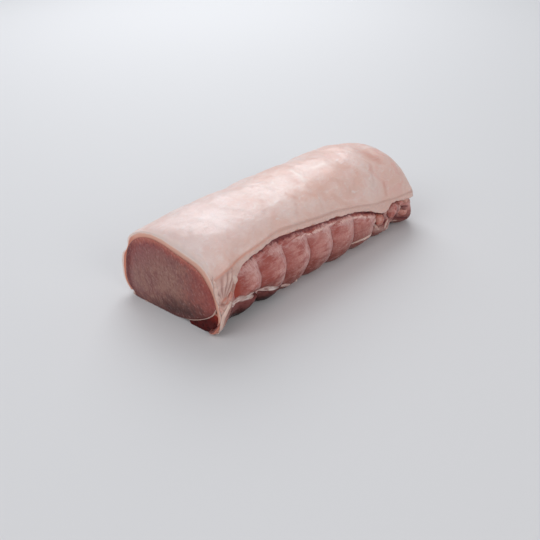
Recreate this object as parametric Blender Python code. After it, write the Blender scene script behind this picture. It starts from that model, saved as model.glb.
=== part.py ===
# Pork loin roast: a ribbed eye muscle under a cap of back fat, with a strip muscle along its lower near edge

import math

import bmesh
import bpy
from mathutils import Matrix, Vector

# Driving sizes in metres. X runs along the loin from its front cut face, Y away from its ribbed side, Z up
LENGTH = 0.2265
WIDTH = 0.0955
HEIGHT = 0.0662

# Ribs: the swells that the rib bones left along the near side
RIB_PITCH = 0.1117 * LENGTH
STEP = RIB_PITCH / 6
FIRST_GROOVE = 10.5 * STEP
RIB_DEPTH = 0.0042
RIB_ROUNDNESS = 0.65
RIB_BEND = 0.0040
RIB_MIDDLE = 0.024
RIB_SPREAD = 0.016
RIB_LEAN = 1.35
GROOVE_TOP = (math.radians(2.0), math.radians(22.0))
WALL_END = math.radians(235.0)

# Stations along the loin: half steps at the front, where the fat's edge turns down, then whole steps
HALF_STEPS = 13
STATIONS = 58
RUN = (STATIONS - HALF_STEPS / 2) * STEP
RIBS_START = (0.5 * RIB_PITCH, RIB_PITCH)
RIBS_END = (0.8 * RUN, 0.9 * RUN)

# Section: reaches from an axis line inside the loin. A fullness of 2 is an ellipse, and more is squarer
AXIS_HEIGHT = 0.333 * HEIGHT
FRONT_DIP = 0.0058
FRONT_DIP_RUN = (-0.014, 0.050)
END_DROP = 0.0108
END_DROP_START = 0.146
END_DROP_POWER = 2.2
NEAR_REACH = 0.418 * WIDTH
FAR_REACH = 0.517 * WIDTH
CORNER_SWELL = 0.0060
CORNER_RUN = (0.0, 0.024)
UNDER_NEAR = 1.22 * AXIS_HEIGHT
UNDER_FAR = 1.15 * AXIS_HEIGHT
UNDER_FULLNESS = 3.2
NEAR_SHOULDER = (3.2, 1.92)
NEAR_SHOULDER_RUN = (0.3 * RUN, RUN)
FAR_SHOULDER = (2.3, 2.15)
FAR_SHOULDER_RUN = (0.0, 0.2 * RUN)
WAVE_HEIGHT = 0.0003
WAVES = ((210.0, 2.0), (97.0, -3.0))

# Front cut face: turned about Z, leaning back, and a little domed
FRONT_TURN = 0.14
FRONT_LEAN = math.tan(math.radians(5.0))
FRONT_FADE = (0.0, 0.6 * RUN)
FRONT_DOME = 0.0016
DOME_UNEVENNESS = 0.25
DOME_TURN = 0.6

# Front shoulder: the skin rolls down to the cut face, most at the near shoulder
TUCK = 0.0095
TUCK_RUN = 0.014
TUCK_RISE = (math.radians(14.0), math.radians(132.0))
TUCK_FALL = (math.radians(129.0), math.radians(217.0))

# Back cut face: its rim is rounded over
BACK_ROUND = 0.020
BACK_SHARE = 0.70
BACK_DOME = 0.0030

# Back fat: its depth over the top, at the near shoulder and at its thin far edge, which a notch runs along,
# and the lobe at its back near corner
TOP_FAT = 0.0044
NEAR_FAT = 0.0062
NEAR_FAT_ANGLE = math.radians(140.0)
NEAR_FAT_WIDTH = math.radians(28.0)
NEAR_FAT_LOSS = 0.4
NEAR_FAT_RUN = (0.0, 0.3 * RUN)
FAT_GAP = 0.0005
FAR_FAT_EDGE = math.radians(-24.0)
FAR_THINNING = (FAR_FAT_EDGE, math.radians(12.0))
FAR_EDGE_SHARE = 0.55
FAR_BARE = math.radians(-30.0)
NOTCH_ANGLE = math.radians(20.0)
NOTCH_WIDTH = math.radians(7.0)
NOTCH_DEPTH = 0.0040
NOTCH_LOSS = 0.75
NOTCH_RUN = (0.0, 0.085)
TAIL_LOBE = 0.0040
TAIL_PLACE = 0.2125
TAIL_ANGLE = math.radians(176.0)
TAIL_SIZE = 0.0085
EDGE_ROUND = 0.0010
EDGE_ROUND_SHARE = 0.02

# Near edge of the fat: its height at places along the loin. Its front end hangs over the corner as a flap
FAT_EDGE = (
    (0.0000, 0.0030), (0.0030, 0.0100), (0.0075, 0.0170), (0.0105, 0.0235), (0.0130, 0.0310),
    (0.0180, 0.0390), (0.0240, 0.0428), (0.0300, 0.0446), (0.0365, 0.0454), (0.0475, 0.0472),
    (0.0610, 0.0483), (0.0860, 0.0460), (0.1270, 0.0400), (0.1500, 0.0345), (0.1600, 0.0308),
    (0.1680, 0.0266), (0.1750, 0.0230), (0.1795, 0.0252), (0.1845, 0.0285), (0.1920, 0.0272),
    (0.2010, 0.0252), (0.2170, 0.0232),
)
FLAP_RUN = (0.010, 0.021)
FLAP_DEPTH = 0.0030
FLAP_TOP = (math.radians(150.0), math.radians(176.0))
FLAP_FOOT = (math.radians(203.0), math.radians(219.0))
LOWEST_WALL_TOP = 0.034
LOWEST_WALL_RUN = (0.5 * RUN, 0.7 * RUN)
RECESS = 0.0022
RECESS_REACH = 0.0055
WALL_RUN = (0.0, 0.024)
EDGE_LIFT = 0.0006
EDGE_LIFT_SHARE = 0.06
THINNEST_FAT = 0.0008

# Strip muscle: the corner between the rounder eye muscle and the skin line
STRIP_STATIONS = 22
STRIP_EYE_FULLNESS = 1.62
SIDE = math.radians(181.0)
STRIP_FADE = (0.040, 0.082)
STRIP_TOP = (math.radians(187.0), math.radians(199.0))
STRIP_UNDER = (math.radians(233.0), math.radians(224.0))
THINNEST_STRIP = 0.0012
STRIP_GAP = 0.0010

# Lumps of trimmed meat at the back of the near side: place along the loin, height, radius and rise
END_LUMPS = (
    (0.178, 0.0190, 0.0070, 0.0022), (0.192, 0.0230, 0.0095, 0.0052), (0.210, 0.0100, 0.0090, 0.0045),
    (0.212, 0.0220, 0.0070, 0.0042),
)
END_CREASES = (
    (0.1875, 0.0130, 0.0050, 0.0042), (0.2010, 0.0150, 0.0055, 0.0048), (0.2020, 0.0270, 0.0040, 0.0024),
    (0.1930, 0.0020, 0.0080, 0.0050),
)
LUMPS_TOP = (0.0, math.radians(8.0))

# Mesh density of the three solids
WALL_COLUMNS = 16
COVERED_COLUMNS = 22
UNDER_COLUMNS = 6
FACE_RINGS = 4
FAT_COLUMNS = 26
EDGE_COLUMNS = 9
STRIP_COLUMNS = 8
WALL_FOOT = math.radians(217.0)
WALL_TOP_LIMIT = math.radians(176.0)
SHOULDER = math.radians(126.0)
EDGE_TO_SHOULDER = math.radians(4.0)
SHARP_FROM = math.radians(50.0)

# Surface finishes: colour and roughness
FAT_PINK = ((0.78, 0.57, 0.51, 1.0), 0.42)
MEAT_PINK = ((0.46, 0.20, 0.18, 1.0), 0.38)
DARK_MEAT = ((0.28, 0.07, 0.06, 1.0), 0.32)


# Eases from 0 at start to 1 at stop
def smooth(value, start, stop):
    share = min(max((value - start) / (stop - start), 0.0), 1.0)
    return share * share * (3.0 - 2.0 * share)


# Height at a place on the smooth line through the points
def follow(place, points):
    last = len(points) - 1
    place = min(max(place, points[0][0]), points[last][0])
    index = max(i for i in range(last) if points[i][0] <= place)
    (left, low), (right, high) = points[index], points[index + 1]
    before = points[max(index - 1, 0)]
    after = points[min(index + 2, last)]
    span = right - left
    slope_in = (high - before[1]) / (right - before[0]) * span
    slope_out = (after[1] - low) / (after[0] - left) * span
    t = (place - left) / span
    return (
        low * (1 + 2 * t) * (1 - t) ** 2
        + slope_in * t * (1 - t) ** 2
        + high * t * t * (3 - 2 * t)
        - slope_out * t * t * (1 - t)
    )


# Place of a station along the loin
def station(index):
    return STEP * (index / 2 if index < HALF_STEPS else index - HALF_STEPS / 2)


# Bell of height 1 and the given half width
def bell(value, half_width):
    return math.exp(-((value / half_width) ** 2))


# Height of the loin's top above the floor
def crest(along):
    dip = FRONT_DIP * (1.0 - smooth(along, *FRONT_DIP_RUN))
    fall = max((along - END_DROP_START) / (RUN - END_DROP_START), 0.0)
    return HEIGHT - dip - END_DROP * fall**END_DROP_POWER


# Reach of a rounded quarter section in a direction
def quarter(across, up, wide, tall, fullness):
    return (abs(across / wide) ** fullness + abs(up / tall) ** fullness) ** (-1.0 / fullness)


# Half width of the section on its near or far side
def half_width(along, near):
    if near:
        return NEAR_REACH + CORNER_SWELL * (1.0 - smooth(along, *CORNER_RUN))
    return FAR_REACH


# Share of the section that is left where the back rim rounds over
def back_share(along):
    over = min(max((along - (RUN - BACK_ROUND)) / BACK_ROUND, 0.0), 1.0)
    return 1.0 - (1.0 - BACK_SHARE) * (1.0 - math.sqrt(1.0 - over * over))


# Depth by which the skin lies lower where it rolls down to the front face
def tuck(along, angle):
    over = min(max(1.0 - along / TUCK_RUN, 0.0), 1.0)
    share = smooth(angle, *TUCK_RISE) * (1.0 - smooth(angle, *TUCK_FALL))
    return TUCK * share * (1.0 - math.sqrt(1.0 - over * over))


# Reach from the axis line, cut off at the floor that the loin lies on
def above_floor(reach, angle):
    down = -math.sin(angle)
    return min(reach, AXIS_HEIGHT / down) if down > 1e-6 else reach


# Reach of the whole loin's skin line
def skin(along, angle):
    across, up = math.cos(angle), math.sin(angle)
    near = across < 0
    if up > 0:
        tall = crest(along) - AXIS_HEIGHT
        front, back = NEAR_SHOULDER if near else FAR_SHOULDER
        change = smooth(along, *(NEAR_SHOULDER_RUN if near else FAR_SHOULDER_RUN))
        fullness = front + (back - front) * change
    else:
        tall = UNDER_NEAR if near else UNDER_FAR
        fullness = UNDER_FULLNESS
    reach = quarter(across, up, half_width(along, near), tall, fullness) * back_share(along)
    reach -= tuck(along, angle)
    wave = sum(math.sin(lengthwise * along + around * angle) for lengthwise, around in WAVES)
    return above_floor(reach + WAVE_HEIGHT * wave, angle)


# Angle at which the near skin line stands at a height
def near_angle(along, height):
    low, high = math.radians(100.0), math.radians(225.0)
    for _ in range(30):
        middle = (low + high) / 2
        if AXIS_HEIGHT + skin(along, middle) * math.sin(middle) > height:
            low = middle
        else:
            high = middle
    return (low + high) / 2


# Angle of the fat's near edge
def fat_edge(along):
    return near_angle(along, follow(along, FAT_EDGE))


# Angle down to which the meat lies back under the fat, behind the flap too
def wall_top(along):
    lowest = LOWEST_WALL_TOP * (1.0 - smooth(along, *LOWEST_WALL_RUN))
    return near_angle(along, max(follow(along, FAT_EDGE), lowest))


# Share of the flap in how the meat is covered
def flap_share(along):
    return 1.0 - smooth(along, *FLAP_RUN)


# Depth of the fat under the skin line
def fat_depth(along, angle):
    thickened = bell(angle - NEAR_FAT_ANGLE, NEAR_FAT_WIDTH)
    thickened *= 1.0 - NEAR_FAT_LOSS * smooth(along, *NEAR_FAT_RUN)
    thinned = FAR_EDGE_SHARE + (1.0 - FAR_EDGE_SHARE) * smooth(angle, *FAR_THINNING)
    depth = (TOP_FAT + (NEAR_FAT - TOP_FAT) * thickened) * thinned * smooth(angle, FAR_BARE, FAR_FAT_EDGE)
    flap = smooth(angle, *FLAP_TOP) * flap_share(along)
    return (depth + (FLAP_DEPTH - depth) * flap) * (1.0 - smooth(angle, *FLAP_FOOT))


# Distance from the skin line in to the meat: the fat, and below its edge a recess that runs out down the wall
def cover(along, angle, top):
    depth = fat_depth(along, angle)
    below = (angle - top) * NEAR_REACH
    bared = (depth + RECESS * bell(below, RECESS_REACH)) * (1.0 - smooth(below, *WALL_RUN))
    return bared + (depth - bared) * flap_share(along)


# Swell of the ribs, 0 in a groove and 1 on a crown. The grooves are arcs, and each swell leans to the back
def rib(along, height):
    bent = along + RIB_BEND * ((height - RIB_MIDDLE) / RIB_SPREAD) ** 2
    share = (bent - FIRST_GROOVE) / RIB_PITCH
    return math.sin(math.pi * (share - math.floor(share)) ** RIB_LEAN) ** RIB_ROUNDNESS


# Ribs and lumps on the near wall, as a change of reach
def wall_relief(along, angle, top, reach):
    if angle <= top or angle > WALL_END:
        return 0.0
    height = AXIS_HEIGHT + reach * math.sin(angle)
    ribbed = smooth(along, *RIBS_START) * (1.0 - smooth(along, *RIBS_END)) * smooth(angle - top, *GROOVE_TOP)
    change = -RIB_DEPTH * (1.0 - rib(along, height)) * ribbed
    for place, level, radius, rise in END_LUMPS:
        change += rise * bell(math.hypot(along - place, height - level), radius)
    for place, level, radius, fall in END_CREASES:
        change -= fall * bell(math.hypot(along - place, height - level), radius)
    return change * smooth(angle - top, *LUMPS_TOP)


# Reach of all the meat: the eye muscle with the strip muscle at its corner
def meat(along, angle):
    top = wall_top(along)
    reach = skin(along, angle) - cover(along, angle, top)
    return above_floor(reach + wall_relief(along, angle, top, reach), angle)


# Reach of the eye muscle, whose lower near corner is rounder than the loin's
def eye(along, angle):
    whole = meat(along, angle)
    across, up = math.cos(angle), math.sin(angle)
    if across >= 0 or up >= 0:
        return whole
    wide = half_width(along, True) - tuck(along, SIDE) - cover(along, SIDE, wall_top(along))
    rounded = min(whole, quarter(across, up, wide, AXIS_HEIGHT, STRIP_EYE_FULLNESS))
    return rounded + (whole - rounded) * smooth(along, *STRIP_FADE)


# Outer reach of the fat, notched along the far side and with a lobe at its back near corner
def fat_outside(along, angle):
    notch = bell(angle - NOTCH_ANGLE, NOTCH_WIDTH) * (1.0 - NOTCH_LOSS * smooth(along, *NOTCH_RUN))
    lobe = bell(math.hypot(along - TAIL_PLACE, (angle - TAIL_ANGLE) * NEAR_REACH), TAIL_SIZE)
    return skin(along, angle) - NOTCH_DEPTH * notch + TAIL_LOBE * lobe


# Point at a reach and angle about the axis line, with the front face turned and leaning
def place(along, angle, reach):
    y = reach * math.cos(angle)
    z = AXIS_HEIGHT + reach * math.sin(angle)
    front = 1.0 - smooth(along, *FRONT_FADE)
    return Vector((along - front * (FRONT_TURN * y - FRONT_LEAN * z), y, max(z, 0.0)))


# Angle of one of the eye muscle's columns: up the ribbed wall, under the fat, then across the base
def eye_angle(along, column):
    top = min(wall_top(along), WALL_TOP_LIMIT)
    if column < WALL_COLUMNS:
        return WALL_FOOT + (top - WALL_FOOT) * column / WALL_COLUMNS
    column -= WALL_COLUMNS
    if column < COVERED_COLUMNS:
        return top + (FAR_FAT_EDGE - top) * column / COVERED_COLUMNS
    column -= COVERED_COLUMNS
    angle = FAR_FAT_EDGE + (WALL_FOOT - math.tau - FAR_FAT_EDGE) * column / UNDER_COLUMNS
    return angle if angle > -math.pi / 2 else angle + math.tau


# Dome of a cut face at a share of its radius, with a slow unevenness
def dome(height, share, angle):
    uneven = 1.0 + DOME_UNEVENNESS * math.cos(2.0 * angle + DOME_TURN) * share
    return height * (1.0 - share**3) * uneven


# Place of one point of the eye muscle, by ring from the front pole to the back pole
def eye_point(ring, column):
    if ring <= FACE_RINGS:
        along, share, height = 0.0, ring / FACE_RINGS, -FRONT_DOME
    elif ring < FACE_RINGS + STATIONS:
        along, share, height = station(ring - FACE_RINGS), 1.0, 0.0
    else:
        along, share, height = RUN, (2 * FACE_RINGS + STATIONS - ring) / FACE_RINGS, BACK_DOME
    angle = eye_angle(along, column)
    point = place(along, angle, eye(along, angle) * share)
    point.x += dome(height, share, angle)
    return point


# New object with a named plain finish
def finished(name, mesh_bm, finish):
    colour, roughness = finish
    if mesh_bm.calc_volume(signed=True) < 0:
        bmesh.ops.reverse_faces(mesh_bm, faces=mesh_bm.faces)
    mesh = bpy.data.meshes.new(name)
    mesh_bm.to_mesh(mesh)
    mesh_bm.free()
    mesh.shade_smooth()
    mesh.set_sharp_from_angle(angle=SHARP_FROM)
    material = bpy.data.materials.new(name)
    material.use_nodes = True
    shader = material.node_tree.nodes["Principled BSDF"]
    shader.inputs["Base Color"].default_value = colour
    shader.inputs["Roughness"].default_value = roughness
    mesh.materials.append(material)
    piece = bpy.data.objects.new(name, mesh)
    bpy.context.scene.collection.objects.link(piece)
    return piece


# Eye muscle: a ball whose rings are drawn onto the sections
def eye_muscle():
    columns = WALL_COLUMNS + COVERED_COLUMNS + UNDER_COLUMNS
    rings = STATIONS + 2 * FACE_RINGS
    bm = bmesh.new()
    bmesh.ops.create_uvsphere(bm, u_segments=columns, v_segments=rings, radius=1.0)
    for vert in bm.verts:
        ring = round(math.acos(max(min(vert.co.z, 1.0), -1.0)) / math.pi * rings)
        turn = math.atan2(vert.co.y, vert.co.x) % math.tau
        vert.co = eye_point(ring, round(turn / math.tau * columns) % columns)
    bmesh.ops.recalc_face_normals(bm, faces=bm.faces)
    bmesh.ops.triangulate(bm, faces=bm.faces)
    return finished("eye_muscle", bm, MEAT_PINK)


# Layer between an inner and an outer reach: a grid, extruded to a second sheet, then drawn onto the sections
def layer(name, stations, columns, angle_at, outside, inside, finish):
    bm = bmesh.new()
    bmesh.ops.create_grid(bm, x_segments=stations, y_segments=columns, size=1.0)
    inner = list(bm.verts)
    grown = bmesh.ops.extrude_face_region(bm, geom=list(bm.faces))["geom"]
    outer = [item for item in grown if isinstance(item, bmesh.types.BMVert)]
    for sheet, reach_at in ((inner, inside), (outer, outside)):
        for vert in sheet:
            along = station(round((vert.co.x + 1.0) / 2.0 * stations))
            share = round((vert.co.y + 1.0) / 2.0 * columns) / columns
            angle = angle_at(along, share)
            vert.co = place(along, angle, reach_at(along, angle, share))
    bmesh.ops.recalc_face_normals(bm, faces=bm.faces)
    bmesh.ops.triangulate(bm, faces=bm.faces)
    return finished(name, bm, finish)


# Fat cap: from its near edge over the top and down the far side
def fat_cap():
    def angle_at(along, share):
        edge = fat_edge(along)
        shoulder = min(SHOULDER, edge - EDGE_TO_SHOULDER)
        turned = share * FAT_COLUMNS / EDGE_COLUMNS
        if turned < 1.0:
            return edge + (shoulder - edge) * turned
        return shoulder + (FAR_FAT_EDGE - shoulder) * (turned - 1.0) / (FAT_COLUMNS / EDGE_COLUMNS - 1.0)

    def inside(along, angle, share):
        return meat(along, angle) + FAT_GAP + EDGE_LIFT * bell(share, EDGE_LIFT_SHARE)

    def outside(along, angle, share):
        rim = EDGE_ROUND * (bell(share, EDGE_ROUND_SHARE) + bell(1.0 - share, EDGE_ROUND_SHARE))
        return max(fat_outside(along, angle) - rim, inside(along, angle, share) + THINNEST_FAT)

    return layer("fat_cap", STATIONS, FAT_COLUMNS, angle_at, outside, inside, FAT_PINK)


# Strip muscle: the wedge between the eye muscle's round corner and the loin's own
def strip_muscle():
    def angle_at(along, share):
        back = smooth(along, 0.0, station(STRIP_STATIONS))
        top = STRIP_TOP[0] + (STRIP_TOP[1] - STRIP_TOP[0]) * back
        under = STRIP_UNDER[0] + (STRIP_UNDER[1] - STRIP_UNDER[0]) * back
        return top + (under - top) * share

    def inside(along, angle, share):
        return eye(along, angle) + STRIP_GAP

    def outside(along, angle, share):
        return max(meat(along, angle), inside(along, angle, share) + THINNEST_STRIP)

    return layer("strip_muscle", STRIP_STATIONS, STRIP_COLUMNS, angle_at, outside, inside, DARK_MEAT)


# Moves and scales the pieces together to the driving sizes, standing on Z = 0 about the origin
def settle(pieces):
    corners = [vert.co for piece in pieces for vert in piece.data.vertices]
    low = Vector([min(corner[i] for corner in corners) for i in range(3)])
    high = Vector([max(corner[i] for corner in corners) for i in range(3)])
    size = high - low
    middle = Vector(((low.x + high.x) / 2, (low.y + high.y) / 2, low.z))
    scale = Matrix.Diagonal((LENGTH / size.x, WIDTH / size.y, HEIGHT / size.z, 1.0))
    for piece in pieces:
        piece.data.transform(scale @ Matrix.Translation(-middle))


for old in list(bpy.data.objects):
    bpy.data.objects.remove(old, do_unlink=True)
settle([eye_muscle(), fat_cap(), strip_muscle()])
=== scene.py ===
# %% [markdown]
# # A raw pork loin, dressed over its fixed frame
#
# The frame holds three plain solids: the long eye muscle, the cap of back fat over it, and the strip
# muscle along one lower corner. This script models each of them again at about one millimetre, from the
# rules that gave the solids their form, and gives them the wet, uneven finish of fresh meat. All lengths
# are in metres.

# %% Load the frame and keep its box
import functools
import math

import bmesh
import bpy
from mathutils import Matrix, Quaternion, Vector, noise
from mathutils.bvhtree import BVHTree


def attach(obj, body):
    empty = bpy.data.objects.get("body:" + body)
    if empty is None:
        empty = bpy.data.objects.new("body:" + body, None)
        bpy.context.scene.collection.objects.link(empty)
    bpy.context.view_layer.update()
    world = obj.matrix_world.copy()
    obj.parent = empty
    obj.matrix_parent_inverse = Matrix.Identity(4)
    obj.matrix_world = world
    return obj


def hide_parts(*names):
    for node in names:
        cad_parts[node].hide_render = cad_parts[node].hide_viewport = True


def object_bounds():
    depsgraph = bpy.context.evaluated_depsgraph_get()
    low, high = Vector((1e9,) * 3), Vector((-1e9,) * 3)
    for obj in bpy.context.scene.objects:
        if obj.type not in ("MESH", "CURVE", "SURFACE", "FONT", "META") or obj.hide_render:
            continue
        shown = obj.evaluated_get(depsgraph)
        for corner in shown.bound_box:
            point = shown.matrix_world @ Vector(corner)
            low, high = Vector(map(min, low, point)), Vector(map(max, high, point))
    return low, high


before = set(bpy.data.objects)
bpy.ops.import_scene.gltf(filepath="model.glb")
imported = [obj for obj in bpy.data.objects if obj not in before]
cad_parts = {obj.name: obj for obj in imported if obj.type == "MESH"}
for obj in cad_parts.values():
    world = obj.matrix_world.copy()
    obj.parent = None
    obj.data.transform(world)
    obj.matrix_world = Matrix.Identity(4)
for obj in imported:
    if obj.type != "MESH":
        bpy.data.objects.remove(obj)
frame_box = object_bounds()
LENGTH, WIDTH, HEIGHT = frame_box[1] - frame_box[0]
print(f"The loin is {1000 * LENGTH:.0f} x {1000 * WIDTH:.0f} x {1000 * HEIGHT:.0f} mm")

# %% [markdown]
# ## The form of the loin
#
# A loin is close to an extrusion, so a point on it has two natural coordinates: a place along the loin,
# from its front cut face, and an angle about a line inside it. 0 degrees is the far side, 90 is the top
# and 180 is the ribbed side. The reach is the distance from that line, and every surface is a rule that
# gives a reach.

# %% Sizes of the loin's form
RIB_PITCH = 0.1117 * LENGTH
STEP = RIB_PITCH / 6
FIRST_GROOVE = 10.5 * STEP
RUN = 51.5 * STEP
AXIS_HEIGHT = 0.333 * HEIGHT
NEAR_REACH = 0.418 * WIDTH
FAR_REACH = 0.517 * WIDTH
print(f"Ribs {1000 * RIB_PITCH:.1f} mm apart, and {1000 * RUN:.0f} mm from cut to cut")

# %% [markdown]
# ## Curves that the rules share
#
# Meat has no corners: a change along it eases in and out, a bump is a bell, and a trimmed edge is a
# smooth line through a few points. Curve objects could carry these, but a plain function of one number
# can be used inside any rule, at any place, and costs nothing to keep.

# %% Ease, bell and smooth line
def smooth(value, start, stop):
    """Ease from 0 at start to 1 at stop."""
    share = min(max((value - start) / (stop - start), 0.0), 1.0)
    return share * share * (3.0 - 2.0 * share)


def bell(value, half_width):
    """Bell of height 1."""
    return math.exp(-((value / half_width) ** 2))


def degrees(*angles):
    """Angles in degrees, as radians."""
    return tuple(math.radians(angle) for angle in angles)


def follow(place, points):
    """Height at a place on the smooth line through the points."""
    last = len(points) - 1
    place = min(max(place, points[0][0]), points[last][0])
    index = max(i for i in range(last) if points[i][0] <= place)
    (left, low), (right, high) = points[index], points[index + 1]
    before = points[max(index - 1, 0)]
    after = points[min(index + 2, last)]
    slope_in = (high - before[1]) / (right - before[0]) * (right - left)
    slope_out = (after[1] - low) / (after[0] - left) * (right - left)
    t = (place - left) / (right - left)
    start = low * (1 + 2 * t) * (1 - t) ** 2 + slope_in * t * (1 - t) ** 2
    return start + high * t * t * (3 - 2 * t) - slope_out * t * t * (1 - t)


print(f"A quarter of the way along, an ease has risen by {smooth(0.25, 0.0, 1.0):.2f}")

# %% [markdown]
# ## The skin line
#
# A cut through the loin is a rounded box: flat below, where it lies on its own weight, and domed above.
# The formula of a superellipse gives it, because one number, the fullness, turns an ellipse into a box.
# The loin is a little lower at both ends, and its near corner swells out at the front.

# %% Height and width of a section
FRONT_DIP, FRONT_DIP_RUN = 0.0058, (-0.014, 0.050)
END_DROP, END_DROP_START, END_DROP_POWER = 0.0108, 0.146, 2.2
CORNER_SWELL, CORNER_RUN = 0.0060, (0.0, 0.024)


def crest(along):
    """Height of the loin's top above the floor."""
    dip = FRONT_DIP * (1.0 - smooth(along, *FRONT_DIP_RUN))
    fall = max((along - END_DROP_START) / (RUN - END_DROP_START), 0.0)
    return HEIGHT - dip - END_DROP * fall**END_DROP_POWER


def half_width(along, near):
    """Half width of the section on its near or far side."""
    return NEAR_REACH + CORNER_SWELL * (1.0 - smooth(along, *CORNER_RUN)) if near else FAR_REACH


def quarter(across, up, wide, tall, fullness):
    """Reach of a rounded quarter section in a direction."""
    return (abs(across / wide) ** fullness + abs(up / tall) ** fullness) ** (-1.0 / fullness)


print(f"The middle of the loin is {1000 * crest(RUN / 2):.1f} mm high")

# %% [markdown]
# ## The ends and the floor
#
# At the front the knife pulled the soft fat along, so the skin rolls down to the cut at its near
# shoulder. A bevel could round an end, but it would take all of the edge alike. Here a quarter circle,
# weighted by the angle, lowers the skin only where it rolls, and the floor cuts off what would hang
# below it.

# %% Rounded ends and flat base
TUCK, TUCK_RUN = 0.0095, 0.014
TUCK_RISE, TUCK_FALL = degrees(14, 132), degrees(129, 217)
BARELY_DOWN = 1e-6


def rounding(over):
    """Quarter circle's drop, 0 at 0 and 1 at 1."""
    over = min(max(over, 0.0), 1.0)
    return 1.0 - math.sqrt(1.0 - over * over)


def tuck(along, angle):
    """Depth by which the skin lies lower where it rolls down to the front face."""
    share = smooth(angle, *TUCK_RISE) * (1.0 - smooth(angle, *TUCK_FALL))
    return TUCK * share * rounding(1.0 - along / TUCK_RUN)


def above_floor(reach, angle):
    """Reach, cut off at the floor that the loin lies on."""
    down = -math.sin(angle)
    return min(reach, AXIS_HEIGHT / down) if down > BARELY_DOWN else reach


print(f"The near shoulder rolls down by {1000 * tuck(0.0, TUCK_RISE[1]):.1f} mm")

# %% Skin line
UNDER_NEAR, UNDER_FAR, UNDER_FULLNESS = 1.22 * AXIS_HEIGHT, 1.15 * AXIS_HEIGHT, 3.2
UNDER_TURN = (-0.3, 0.3)
NEAR_SHOULDER, NEAR_SHOULDER_RUN = (3.2, 1.92), (0.3 * RUN, RUN)
FAR_SHOULDER, FAR_SHOULDER_RUN = (2.3, 2.15), (0.0, 0.2 * RUN)
BACK_ROUND, BACK_SHARE = 0.020, 0.70
WAVE_HEIGHT, WAVES = 0.0003, ((210.0, 2.0), (97.0, -3.0))


def skin(along, angle):
    """Reach of the whole loin's skin line."""
    across, up = math.cos(angle), math.sin(angle)
    near = across < 0
    if up > 0:
        tall = crest(along) - AXIS_HEIGHT
        front, back = NEAR_SHOULDER if near else FAR_SHOULDER
        shoulder_run = NEAR_SHOULDER_RUN if near else FAR_SHOULDER_RUN
        fullness = front + (back - front) * smooth(along, *shoulder_run)
    else:
        tall = UNDER_FAR + (UNDER_NEAR - UNDER_FAR) * smooth(-across, *UNDER_TURN)
        fullness = UNDER_FULLNESS
    back_share = 1.0 - (1.0 - BACK_SHARE) * rounding(1.0 - (RUN - along) / BACK_ROUND)
    reach = quarter(across, up, half_width(along, near), tall, fullness) * back_share - tuck(along, angle)
    wave = sum(math.sin(lengthwise * along + around * angle) for lengthwise, around in WAVES)
    return above_floor(reach + WAVE_HEIGHT * wave, angle)


print(f"Half way along, the ribbed side stands {1000 * skin(RUN / 2, math.pi):.1f} mm out")

# %% [markdown]
# ## The fat's near edge
#
# The butcher trimmed the fat back along the ribs in one sweep. The edge starts at the floor, as a flap
# over the front corner, climbs to three quarters of the loin's height and falls towards the back. A
# short list of heights carries that sweep, and a search finds the angle at which the skin has each
# height.

# %% Fat's near edge
FAT_EDGE = (
    (0.0000, 0.0008), (0.0022, 0.0085), (0.0075, 0.0170), (0.0105, 0.0235), (0.0130, 0.0310),
    (0.0180, 0.0390), (0.0240, 0.0428), (0.0300, 0.0446), (0.0365, 0.0454), (0.0475, 0.0472),
    (0.0610, 0.0483), (0.0860, 0.0460), (0.1270, 0.0400), (0.1500, 0.0345), (0.1600, 0.0308),
    (0.1680, 0.0266), (0.1750, 0.0230), (0.1795, 0.0252), (0.1845, 0.0285), (0.1920, 0.0272),
    (0.2010, 0.0252), (0.2170, 0.0232),
)
LOWEST_WALL_TOP, LOWEST_WALL_RUN = 0.034, (0.5 * RUN, 0.7 * RUN)
SEARCH, HALVINGS = degrees(100, 225), 30


def near_angle(along, height):
    """Angle at which the near skin line stands at a height."""
    low, high = SEARCH
    for _ in range(HALVINGS):
        middle = (low + high) / 2
        if AXIS_HEIGHT + skin(along, middle) * math.sin(middle) > height:
            low = middle
        else:
            high = middle
    return (low + high) / 2


@functools.lru_cache(maxsize=None)
def fat_edge(along):
    """Angle of the fat's near edge."""
    return near_angle(along, follow(along, FAT_EDGE))


@functools.lru_cache(maxsize=None)
def wall_top(along):
    """Angle down to which the meat lies back under the fat, behind the flap too."""
    lowest = LOWEST_WALL_TOP * (1.0 - smooth(along, *LOWEST_WALL_RUN))
    return near_angle(along, max(follow(along, FAT_EDGE), lowest))


third_rib = FIRST_GROOVE + 1.5 * RIB_PITCH
print(f"At the third rib the edge is at {math.degrees(fat_edge(third_rib)):.0f} degrees")

# %% Crease above the edge
CREASE_LINE = (
    (0.0000, 0.0410), (0.0020, 0.0430), (0.0060, 0.0454), (0.0130, 0.0469), (0.0260, 0.0483),
    (0.0400, 0.0501), (0.0610, 0.0518), (0.0860, 0.0500), (0.1270, 0.0446), (0.1480, 0.0398),
    (0.1680, 0.0350), (0.1820, 0.0326), (0.2000, 0.0300), (0.2170, 0.0285),
)


@functools.lru_cache(maxsize=None)
def crease(along):
    """Angle of the crease where the knife's cut through the fat begins, a little above its edge."""
    return near_angle(along, follow(along, CREASE_LINE))


cut_height = follow(RUN / 2, CREASE_LINE) - follow(RUN / 2, FAT_EDGE)
print(f"Half way along, the knife's cut through the fat is {1000 * cut_height:.1f} mm high")

# %% [markdown]
# ## Fat over the meat
#
# Back fat is a layer of uneven depth: thickest over the near shoulder, thin at the far edge, and a
# narrow flap at the front corner. Solidify would give it one thickness. A rule for its depth lets it
# thin out to nothing where the butcher trimmed it, and the same rule then says where the meat below
# begins.

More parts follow.
